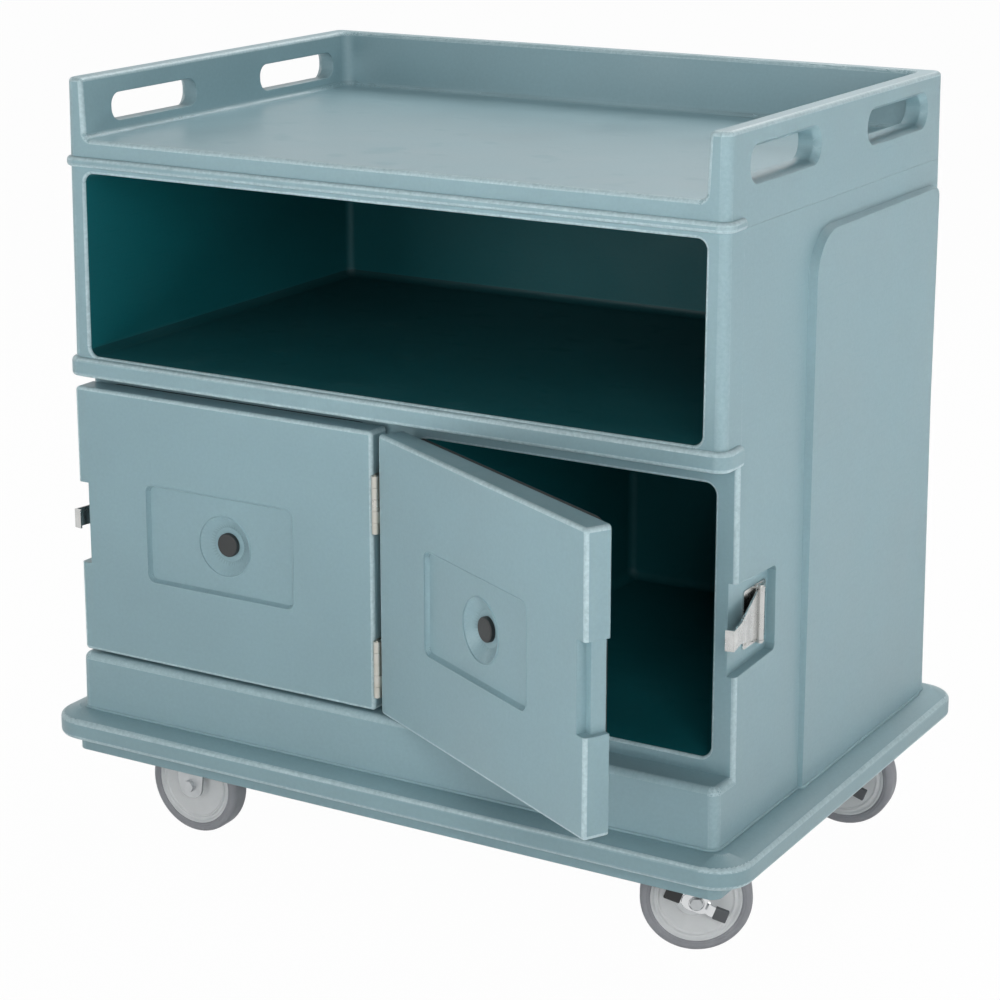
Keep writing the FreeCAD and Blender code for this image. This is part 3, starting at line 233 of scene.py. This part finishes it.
# Slot 1 is the shelf floor's darkest painted shade, slot 2 the painted shade of the other inner faces.
painted_shade_slots = np.where(shelf & (up < shelf_floor), 1, np.where(shelf | cavity, 2, 0))
cabinet.data.polygons.foreach_set("material_index", painted_shade_slots.astype(np.int32))
finish_piece(cabinet, "cabinet", slate, "cabinet_shell")
cabinet.data.materials.append(shelf_floor_painted_shade)
cabinet.data.materials.append(inner_wall_painted_shade)

# Base moulding
# A solid-looking bumper flange all round with a skirt under it, moulded in the same polyethylene
# and closing the cabinet's foot; the casters are bolted into its pocket.

base = smooth_copy("base_moulding", "base_bumper")
mark_edges(base)
finish_piece(base, "cabinet", slate, "base_moulding")

# Foot bead
# A thin round weld of the same plastic, run by hand along the corner where the cabinet's foot stands
# on the base; it follows every step of the outline.


def outline_at(piece, level):
    """Where a level plane cuts a piece: each edge that crosses it gives the point that divides the edge
    in the ratio of its two heights, and the points are put in order of their bearing."""
    places = read(piece.data.vertices, "co", 3)
    ends = read(piece.data.edges, "vertices", 2, np.int32)
    first, second = places[ends[:, 0]], places[ends[:, 1]]
    crosses = (first[:, 2] - level) * (second[:, 2] - level) < 0
    first, second = first[crosses], second[crosses]
    share = ((level - first[:, 2]) / (second[:, 2] - first[:, 2]))[:, None]
    points = (first + share * (second - first))[:, :2]
    return points[np.argsort(np.arctan2(points[:, 1], points[:, 0]))]


def skinned(name, grid, joined, angle=40):
    """A closed skin over a grid of points: each row is a ring, and the rows run along the piece. Joined
    means that the last row meets the first; otherwise a fan about its middle closes each end."""
    rows, columns = grid.shape[:2]
    index = np.arange(rows * columns).reshape(rows, columns)
    beside = np.roll(index, -1, axis=1)
    below, across = np.roll(index, -1, axis=0), np.roll(beside, -1, axis=0)
    bands = rows if joined else rows - 1
    quads = np.stack([index, beside, across, below], axis=-1)[:bands].reshape(-1, 4)
    triangles = np.concatenate([quads[:, [0, 1, 2]], quads[:, [0, 2, 3]]])
    places = grid.reshape(-1, 3)
    if not joined:
        first, last = rows * columns, rows * columns + 1
        places = np.concatenate([places, grid[0].mean(axis=0)[None], grid[-1].mean(axis=0)[None]])
        start = np.stack([np.full(columns, first), beside[0], index[0]], axis=-1)
        end = np.stack([np.full(columns, last), index[-1], beside[-1]], axis=-1)
        triangles = np.concatenate([triangles, start, end])
    corner, second, third = (places[triangles[:, k]] for k in range(3))
    if np.einsum("ij,ij->i", corner, np.cross(second, third)).sum() < 0:
        triangles = triangles[:, ::-1]
    return shaded(name, places, triangles, angle)


def beaded(name, loop, facing, radius):
    """A round bead along a flat loop of points: the loop is divided into equal steps of its length, and at
    each a ring stands square to the line through its two neighbours. Facing is the loop's normal."""
    spacing, ring_points = 0.003, 10
    closed = np.concatenate([loop, loop[:1]])
    run = np.concatenate([[0], np.cumsum(np.linalg.norm(np.diff(closed, axis=0), axis=1))])
    steps = np.linspace(0, run[-1], int(run[-1] / spacing), endpoint=False)
    path = np.stack([np.interp(steps, run, closed[:, k]) for k in range(3)], axis=-1)
    heading = np.roll(path, -1, axis=0) - np.roll(path, 1, axis=0)
    heading /= np.linalg.norm(heading, axis=1)[:, None]
    outward = np.cross(heading, facing)
    round_about = np.linspace(0, 2 * np.pi, ring_points, endpoint=False)[None, :, None]
    ring = np.cos(round_about) * outward[:, None] + np.sin(round_about) * np.array(facing)
    return skinned(name, path[:, None] + radius * ring, True, 60)


weld_radius, weld_rise = 0.0024, 0.0015
foot_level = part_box("cabinet_shell")[0][2] + weld_rise
foot_line = np.pad(outline_at(cabinet, foot_level), ((0, 0), (0, 1)), constant_values=foot_level)
weld = beaded("foot_weld_bead", foot_line, (0, 0, 1), weld_radius)
finish_piece(weld, "cabinet", slate)

# Top tray
# Deck with rails on three sides and four hand slots, moulded in the same plastic and set on the
# cabinet's head; the bead under its front edge hides the joint.

tray = smooth_copy("top_tray", "tray_with_rails")
mark_edges(tray)
finish_piece(tray, "cabinet", slate, "top_tray")

# Doors
# Two double-walled doors in the same polyethylene, each with a sunk panel, a round dish and a latch
# notch in its free edge, foam-filled. A fine raised line of flash runs round the panel and the dish.


def joint_of(name):
    """Place and axis of a joint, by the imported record."""
    row = next(joint for joint in frame["record"]["behaviour"]["joints"] if joint["name"] == name)
    return np.array(row["pos_m"]), np.array(row["axis"])


def rounded_loop(width, height, radius):
    """Points of a rectangle with round corners about the origin: a circle of the corner radius, with each
    quarter pushed out to its own corner."""
    count = 96
    turn = (np.arange(count) + 0.5) * 2 * np.pi / count
    circle = np.stack([np.cos(turn), np.sin(turn)], axis=-1)
    return np.sign(circle) * (np.array((width, height)) / 2 - radius) + radius * circle


# Places on a shut door are from its left edge, from its foot and in from its face. The right door
# mirrors the left one about the hinge, but for the panel, and hangs ajar.
panel_width, panel_height, panel_corner = 0.254, 0.146, 0.012
panel_across, panel_up, panel_depth = 0.248, 0.196, 0.0006
dish_width, dish_up, dish_depth = 0.088, 0.195, 0.007
flash_radius = 0.0013
ajar = math.radians(-28)
panel_loop = rounded_loop(panel_width, panel_height, panel_corner)
dish_loop = rounded_loop(dish_width, dish_width, dish_width / 2)
hinge_line, _ = joint_of("right_door_hinge")
left_low, left_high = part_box("left_door_shell")
door_middle = (left_low[0] + left_high[0]) / 2
hung = [("left", 0.0, left_low[0], door_middle), ("right", ajar, -left_high[0], -door_middle)]
for side, swing, left_edge, dish_middle in hung:
    door = smooth_copy(side + "_door_shell", side + "_door_moulding")
    mark_edges(door)
    finish_piece(door, side + "_door", slate, side + "_door_shell")
    turn_by = np.array([[math.cos(swing), -math.sin(swing), 0], [math.sin(swing), math.cos(swing), 0],
                        [0, 0, 1]])
    outward = turn_by @ np.array((0.0, -1.0, 0.0))
    rims = [("_panel_flash", panel_loop, left_edge + panel_across, panel_up, panel_depth),
            ("_dish_flash", dish_loop, dish_middle, dish_up, dish_depth)]
    for label, loop, middle, height, depth in rims:
        face = np.full(len(loop), left_low[1] + depth)
        line = np.stack([middle + loop[:, 0], face, left_low[2] + height + loop[:, 1]], axis=-1)
        line = hinge_line + (line - hinge_line) @ turn_by.T
        flash = beaded(side + label, line, outward, flash_radius)
        finish_piece(flash, side + "_door", slate)

# Door seals
# Extruded rubber strips pressed into the back of each door round its plug.

# Black EPDM rubber: matt with a faint bloom, in patches of about 12 mm.
seal_rubber, tree, shader, place = new_finish("epdm_rubber_matt_black", IOR=1.52)
bloom = add(tree, "TexNoise", {"Scale": 1 / 0.012, "Detail": 4.0}, Vector=place)
dusty = add(tree, "MixRGB", {1: linear("#1C1E1F"), 2: linear("#2B2E2F")}, _0=bloom.outputs["Fac"])
tree.links.new(dusty.outputs[0], shader.inputs["Base Color"])
matt = add(tree, "MapRange", {**noise_span, 3: 0.6, 4: 0.8}, _0=bloom.outputs["Fac"])
tree.links.new(matt.outputs[0], shader.inputs["Roughness"])
for side in ("left", "right"):
    gasket = smooth_copy(side + "_door_gasket", side + "_door_seal", 40)
    finish_piece(gasket, side + "_door", seal_rubber, side + "_door_gasket")

# Vent plugs
# A black nylon plug in the dish of each door, pulled out by hand to let air into the cavity.

# Black nylon, injection moulded: low gloss with a fine spark texture of 1.2 mm.
nylon, tree, shader, place = new_finish("nylon_moulded_black", IOR=1.53)
spark = add(tree, "TexNoise", {"Scale": 1 / 0.0012, "Detail": 2.0}, Vector=place)
greyed = add(tree, "MixRGB", {1: linear("#1A1D1E"), 2: linear("#262A2B")}, _0=spark.outputs["Fac"])
tree.links.new(greyed.outputs[0], shader.inputs["Base Color"])
sheen = add(tree, "MapRange", {**noise_span, 3: 0.38, 4: 0.55}, _0=spark.outputs["Fac"])
tree.links.new(sheen.outputs[0], shader.inputs["Roughness"])
texture = add(tree, "Bump", {"Strength": 0.3, "Distance": 0.0002}, Height=spark.outputs["Fac"])
tree.links.new(texture.outputs[0], shader.inputs["Normal"])
for side in ("left", "right"):
    plug = smooth_copy(side + "_vent_plug", side + "_vent_plug_head")
    finish_piece(plug, side + "_vent", nylon, side + "_vent_plug")

# Hinges
# Pressed stainless leaves screwed to the mullion and to the doors, with knuckles on a common pin.


def drawn_metal(name, colour, stain, rough, grain):
    """Sheet or bar metal: fine drawn lines along one way, with slight stains about 20 mm across. Grain
    is one over the lines' size in metres along each axis."""
    material, tree, shader, place = new_finish(name, Metallic=1.0)
    along = add(tree, "Mapping", {"Scale": grain}, Vector=place)
    lines = add(tree, "TexNoise", {"Scale": 1.0, "Detail": 3.0}, Vector=along.outputs[0])
    patches = add(tree, "TexNoise", {"Scale": 1 / 0.02, "Detail": 4.0}, Vector=place)
    stained = add(tree, "MixRGB", {1: linear(colour), 2: linear(stain)}, _0=patches.outputs["Fac"])
    tree.links.new(stained.outputs[0], shader.inputs["Base Color"])
    dull = add(tree, "MapRange", {**noise_span, 3: rough - 0.08, 4: rough + 0.10}, _0=patches.outputs["Fac"])
    tree.links.new(dull.outputs[0], shader.inputs["Roughness"])
    cut = add(tree, "Bump", {"Strength": 0.15, "Distance": 0.0002}, Height=lines.outputs["Fac"])
    tree.links.new(cut.outputs[0], shader.inputs["Normal"])
    return material


def body_of(node):
    """The body that a node moves with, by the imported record."""
    return next(body for body, nodes in frame["record"]["behaviour"]["bodies"].items() if node in nodes)


# Pressed stainless sheet: a satin grey, warm in the stains, with lines across the leaf.
hinge_grain = (1 / 0.02, 1 / 0.0008, 1 / 0.0008)
hinge_steel = drawn_metal("stainless_steel_pressed", "#C9C9C4", "#A9A79C", 0.34, hinge_grain)
for node in ("hinge_body_leaves", "hinge_pins", "left_door_leaves", "right_door_leaves"):
    leaf = smooth_copy(node, node + "_pressed")
    finish_piece(leaf, body_of(node), hinge_steel, node)

# Screws
# Small countersunk stainless screws hold the hinge leaves and the latch plates.

# Turned stainless bar: a little darker and glossier than the leaves, with fine marks of the tool.
screw_grain = (1 / 0.001, 1 / 0.001, 1 / 0.01)
screw_steel = drawn_metal("stainless_steel_turned", "#BFC0BE", "#95958F", 0.30, screw_grain)
for node in ("hinge_body_screws", "left_door_leaf_screws", "right_door_leaf_screws", "left_latch_screws",
             "right_latch_screws"):
    screws = smooth_copy(node, node + "_turned")
    finish_piece(screws, body_of(node), screw_steel, node)

# Latches
# Stainless side latches in a recess of each side wall: a plate with two ears, a pin and a hook that
# swings into the door's notch.

# Polished stainless sheet: bright, with soft reflections drawn out along the hook.
latch_grain = (1 / 0.0008, 1 / 0.03, 1 / 0.0008)
latch_steel = drawn_metal("stainless_steel_polished", "#D2D3D2", "#B4B5B3", 0.24, latch_grain)
for side in ("left", "right"):
    for part in ("base", "pin", "hook"):
        node = side + "_latch_" + part
        latch = smooth_copy(node, node + "_pressed")
        finish_piece(latch, body_of(node), latch_steel, node)

# Casters
# Zinc-plated pressed forks bolted up into the base, two fixed and two swivelling on a ring of balls,
# each with an axle and its sleeve.

# Zinc-plated steel: a cool light grey, half dull, with slight stains.
zinc_grain = (1 / 0.002, 1 / 0.002, 1 / 0.03)
zinc = drawn_metal("zinc_plated_steel", "#C3C6C8", "#9FA3A5", 0.36, zinc_grain)
fixed, swivelling = ["front_left", "back_left"], ["front_right", "back_right"]
plated = ["caster_bolts"]
plated += [corner + part for corner in fixed + swivelling for part in ("_fork", "_axle", "_axle_sleeve")]
plated += [corner + part for corner in swivelling for part in ("_swivel_plate", "_kingpin", "_swivel_balls")]
for node in plated:
    finish_piece(smooth_copy(node, node + "_plated"), body_of(node), zinc, node)

# Wheels
# A pale polypropylene hub, injection moulded with a flat disc and two turned rings inside its rim,
# and a solid grey rubber tyre with round shoulders that is bonded round it.


def soft_plastic(name, colour, other, rough):
    """Moulded polymer with faint flow marks of 15 mm and a fine matt texture of 1.5 mm."""
    material, tree, shader, place = new_finish(name, IOR=1.5)
    flow = add(tree, "TexNoise", {"Scale": 1 / 0.015, "Detail": 4.0}, Vector=place)
    mixed = add(tree, "MixRGB", {1: linear(colour), 2: linear(other)}, _0=flow.outputs["Fac"])
    tree.links.new(mixed.outputs[0], shader.inputs["Base Color"])
    dull = add(tree, "MapRange", {**noise_span, 3: rough - 0.06, 4: rough + 0.08}, _0=flow.outputs["Fac"])
    tree.links.new(dull.outputs[0], shader.inputs["Roughness"])
    fine = add(tree, "TexNoise", {"Scale": 1 / 0.0015, "Detail": 2.0}, Vector=place)
    skin = add(tree, "Bump", {"Strength": 0.2, "Distance": 0.0003}, Height=fine.outputs["Fac"])
    tree.links.new(skin.outputs[0], shader.inputs["Normal"])
    return material


def turned(name, half_profile, centre, axle):
    """A ring turned about an axle: every profile point (radius, width) runs round a circle of its radius,
    and the half profile is repeated on the other side of the wheel's middle plane."""
    steps = 112
    half = np.array(half_profile) / 1000
    profile = np.concatenate([half, half[::-1] * (1, -1)])
    upright = np.array((0.0, 0.0, 1.0))
    level = np.cross(axle, upright)
    turn = np.linspace(0, 2 * np.pi, steps, endpoint=False)[:, None, None]
    ring = np.cos(turn) * level + np.sin(turn) * upright
    grid = centre + profile[None, :, 1, None] * axle + profile[None, :, 0, None] * ring
    return skinned(name, grid, True)


# Polypropylene as moulded: pale grey with a low sheen.
hub_grey = soft_plastic("polypropylene_hub_pale_grey", "#EEF0F1", "#E2E5E6", 0.42)
# Thermoplastic rubber: mid grey and matt.
tyre_grey = soft_plastic("thermoplastic_rubber_grey", "#A7A8AD", "#989AA0", 0.6)
# Profiles in millimetres, from the axle outwards: the boss, the disc, the two rings with a groove
# between them, and then the tyre's bead, the fine groove in its side and its round shoulder.
boss = [(7.1, 19.0), (17.6, 19.0), (18.7, 18.4), (19.2, 17.2), (19.9, 14.4), (21.6, 13.2)]
disc = [(24.0, 12.9), (49.4, 12.6)]
inner_ring = [(50.4, 13.2), (51.0, 14.2), (51.8, 14.7), (52.8, 14.7), (53.6, 14.2), (54.2, 12.4)]
groove = [(54.9, 11.4), (56.0, 11.0), (57.4, 11.4)]
outer_ring = [(58.3, 12.6), (58.9, 14.3), (59.6, 14.9), (61.4, 15.0), (62.2, 14.5)]
tyre_bead = [(62.2, 14.8), (62.9, 15.9), (64.0, 16.6), (65.2, 16.8)]
tyre_groove = [(65.7, 16.4), (66.2, 16.4), (66.7, 16.9), (67.6, 17.0)]
shoulder_radius, shoulder_out, shoulder_side = 8, 68.2, 9
shoulder = [(shoulder_out + shoulder_radius * math.sin(a), shoulder_side + shoulder_radius * math.cos(a))
            for a in np.radians(np.linspace(0, 90, 9)).tolist()]
for corner in fixed + swivelling:
    centre, axle = joint_of(corner + "_wheel_spin")
    hub = turned(corner + "_hub_turned", boss + disc + inner_ring + groove + outer_ring, centre, axle)
    finish_piece(hub, corner + "_wheel", hub_grey, corner + "_wheel_hub")
    tyre = turned(corner + "_tyre_turned", tyre_bead + tyre_groove + shoulder, centre, axle)
    finish_piece(tyre, corner + "_wheel", tyre_grey, corner + "_tyre")

# Brakes
# A chromed rocker lever on each swivel caster, pushed on to the axle against the outer fork leg. A cam
# plate round the axle stiffens it; a black foot pad is moulded on its upper end, a grey one on the lower.


def rounded_block(name, centre, axes, half, radius):
    """A block with round edges: each point of a ball of the edge radius is pushed out to the corner of
    the block that lies in its direction."""
    count = 40
    height = np.radians([-88, -70, -50, -30, -10, -2, 2, 10, 30, 50, 70, 88])[:, None]
    turn = ((np.arange(count) + 0.5) * 2 * np.pi / count)[None, :]
    level = np.cos(height)
    ball = np.stack([level * np.cos(turn), level * np.sin(turn), np.sin(height) + 0 * turn], axis=-1)
    local = np.sign(ball) * (np.array(half) - radius) + radius * ball
    return skinned(name, centre + local @ axes, False)


def cam_plate(name, centre, axes, near, thickness):
    """A flat oval ring: its hole is round and its rim swells along the lever, twice in a turn."""
    count = 72
    hole_radius, rim_radius, rim_swell, edge = 0.0101, 0.0125, 0.0085, 0.0006
    turn = np.linspace(0, 2 * np.pi, count, endpoint=False)
    rim = rim_radius + rim_swell * np.cos(turn) ** 2
    hole = np.full(count, hole_radius)
    radii = np.stack([hole, hole, hole + edge, rim - edge, rim, rim], axis=-1)
    depth = near + np.array([0, thickness - edge, thickness, thickness, thickness - edge, 0])
    flat = [radii * np.cos(turn)[:, None], radii * np.sin(turn)[:, None]]
    local = np.stack(flat + [np.broadcast_to(depth, radii.shape)], axis=-1)
    return skinned(name, centre + local @ axes, True)


# Chromed steel: the brightest and smoothest of the metals, with clear reflections.
chrome_grain = (1 / 0.03, 1 / 0.03, 1 / 0.03)
chrome = drawn_metal("chromed_steel", "#DFE1E2", "#C9CBCD", 0.14, chrome_grain)
# Moulded rubber: matt, black above and dark grey below.
pad_black = soft_plastic("moulded_rubber_pad_black", "#161818", "#242627", 0.5)
pad_grey = soft_plastic("moulded_rubber_pad_dark_grey", "#5B5E61", "#4C4F52", 0.5)
# Places on the lever are along it, across it and out from the wheel's middle plane, in metres.
lever_tilt = math.radians(21)
cam_near, cam_thickness = 0.0284, 0.0022
pad_edge = 0.0016
pads = [("_upper_pad", (-0.0330, 0, 0.0283), (0.0115, 0.0092, 0.0028), pad_black),
        ("_lower_pad", (0.0350, 0, 0.0362), (0.0095, 0.0090, 0.0033), pad_grey)]
for corner in swivelling:
    body = corner + "_brake"
    centre, axle = joint_of(corner + "_wheel_spin")
    trail = centre - joint_of(corner + "_swivel_turn")[0]
    trail[2] = 0
    trail /= np.linalg.norm(trail)
    along = math.cos(lever_tilt) * trail - math.sin(lever_tilt) * np.array((0, 0, 1))
    axes = np.stack([along, np.cross(-axle, along), -axle])
    lever = smooth_copy(corner + "_brake_pedal", corner + "_lever_chromed")
    finish_piece(lever, body, chrome, corner + "_brake_pedal")
    cam = cam_plate(corner + "_cam_plate", centre, axes, cam_near, cam_thickness)
    finish_piece(cam, body, chrome)
    for label, middle, half, rubber in pads:
        pad = rounded_block(corner + label, centre + np.array(middle) @ axes, axes, half, pad_edge)
        finish_piece(pad, body, rubber)

# Foam filling
# Pale rigid polyurethane foam fills the walls; nothing of it shows.

# Polyurethane foam: cream, with no sheen.
foam_cells = soft_plastic("polyurethane_foam_cream", "#D9CFA8", "#C9BE94", 0.9)
for node in ("cabinet_foam", "left_door_foam", "right_door_foam"):
    frame["nodes"][node].data.materials.clear()
    frame["nodes"][node].data.materials.append(foam_cells)

# Floor and light
# A white paper floor in white surroundings. Much of the light reaches the cart from the bright floor in
# front of it and beside it; soft lamps stand above it, behind it, at both sides and across the front.

reach = 30.0
floor_corners = [(-reach, -reach, 0), (reach, -reach, 0), (reach, reach, 0), (-reach, reach, 0)]
floor_mesh = bpy.data.meshes.new("studio_floor")
floor_mesh.from_pydata(floor_corners, [], [(0, 1, 2, 3)])
floor = bpy.data.objects.new("studio_floor", floor_mesh)
bpy.context.scene.collection.objects.link(floor)
# White paper sweep: to the camera and in reflections mostly its own white, so that only a faint
# shadow of the cart is left on it.
own_white = 0.98
paper = bpy.data.materials.new("white_paper_sweep")
paper.use_nodes = True
tree = paper.node_tree
shader = tree.nodes["Principled BSDF"]
shader.inputs["Base Color"].default_value = linear("#EDEDED")
shader.inputs["Roughness"].default_value = 0.9
ray = add(tree, "LightPath", {}).outputs
seen = add(tree, "Math", {"operation": "MAXIMUM"}, _0=ray["Is Camera Ray"], _1=ray["Is Glossy Ray"])
share = add(tree, "Math", {"operation": "MULTIPLY", 1: own_white}, _0=seen.outputs[0])
glow = add(tree, "Emission", {"Color": (1, 1, 1, 1), "Strength": 1.0})
both = add(tree, "MixShader", {}, _0=share.outputs[0], _1=shader.outputs[0], _2=glow.outputs[0])
tree.links.new(both.outputs[0], tree.nodes["Material Output"].inputs["Surface"])
floor_mesh.materials.append(paper)

# White surroundings: full white to the camera, in glass and in reflections; a faint fill elsewhere.
faint_fill, full_white = 0.03, 1.0
world = bpy.data.worlds.new("white_studio")
bpy.context.scene.world = world
world.use_nodes = True
tree = world.node_tree
ray = add(tree, "LightPath", {}).outputs
seen = add(tree, "Math", {"operation": "MAXIMUM"}, _0=ray["Is Camera Ray"], _1=ray["Is Transmission Ray"])
shown = add(tree, "Math", {"operation": "MAXIMUM"}, _0=seen.outputs[0], _1=ray["Is Glossy Ray"])
level = add(tree, "MapRange", {1: 0.0, 2: 1.0, 3: faint_fill, 4: full_white}, _0=shown.outputs[0])
tree.links.new(level.outputs[0], tree.nodes["Background"].inputs["Strength"])
tree.nodes["Background"].inputs["Color"].default_value = (1, 1, 1, 1)


def softbox(name, place, target, size, power, spread=180):
    """A square soft lamp at a place, turned to a target; a grid narrows its beam to the spread angle."""
    lamp = bpy.data.lights.new(name, "AREA")
    lamp.size = size
    lamp.energy = power
    lamp.spread = math.radians(spread)
    stand = bpy.data.objects.new(name, lamp)
    bpy.context.scene.collection.objects.link(stand)
    back = np.array(place) - np.array(target)
    stand.location = place
    stand.rotation_euler = (math.acos(back[2] / np.linalg.norm(back)), 0, math.atan2(back[0], -back[1]))


cart_middle, cart_upper, floor_spread = (0, 0, 0.6), (0, 0, 0.8), 70
softbox("back_softbox", (0, 2.57, 3.66), cart_middle, 2.0, 68)
softbox("top_softbox", (0, -0.1, 3.6), cart_middle, 1.6, 11)
softbox("front_softbox", (0, -2.83, 3.43), cart_middle, 2.0, 14)
softbox("front_left_softbox", (-1.6, -3.6, 1.4), cart_upper, 1.4, 22)
softbox("front_right_softbox", (2.7, -3.2, 2.0), cart_upper, 1.6, 46)
softbox("side_softbox", (3.85, -0.5, 1.7), cart_middle, 1.8, 18)
softbox("left_softbox", (-3.85, 0.3, 1.7), cart_middle, 1.8, 12)
softbox("knee_softbox", (0.2, -3.6, 0.45), (0.2, 0, 0.35), 0.8, 3)
softbox("front_floor_lamp", (0.3, -2.6, 2.2), (0.3, -2.601, 0), 1.2, 48, floor_spread)
softbox("side_floor_lamp", (2.6, 0.2, 2.2), (2.6, 0.199, 0), 1.2, 56, floor_spread)

# Camera
# Slightly to the right of the front and above the tray, as the photograph was taken.

focal_pixels, picture_pixels, sensor_millimetres = 2643.6, 1000, 36.0
turn, tilt = math.radians(30.487), math.radians(14.762)
lens = bpy.data.cameras.new("studio_camera")
lens.sensor_width = sensor_millimetres
lens.lens = focal_pixels / picture_pixels * sensor_millimetres
lens.shift_y = -0.08
camera = bpy.data.objects.new("studio_camera", lens)
bpy.context.scene.collection.objects.link(camera)
camera.location = (1.8770, -3.2087, 1.6059)
camera.rotation_euler = (math.pi / 2 - tilt, 0, turn)
bpy.context.scene.camera = camera
bpy.context.scene.view_settings.view_transform = "Standard"
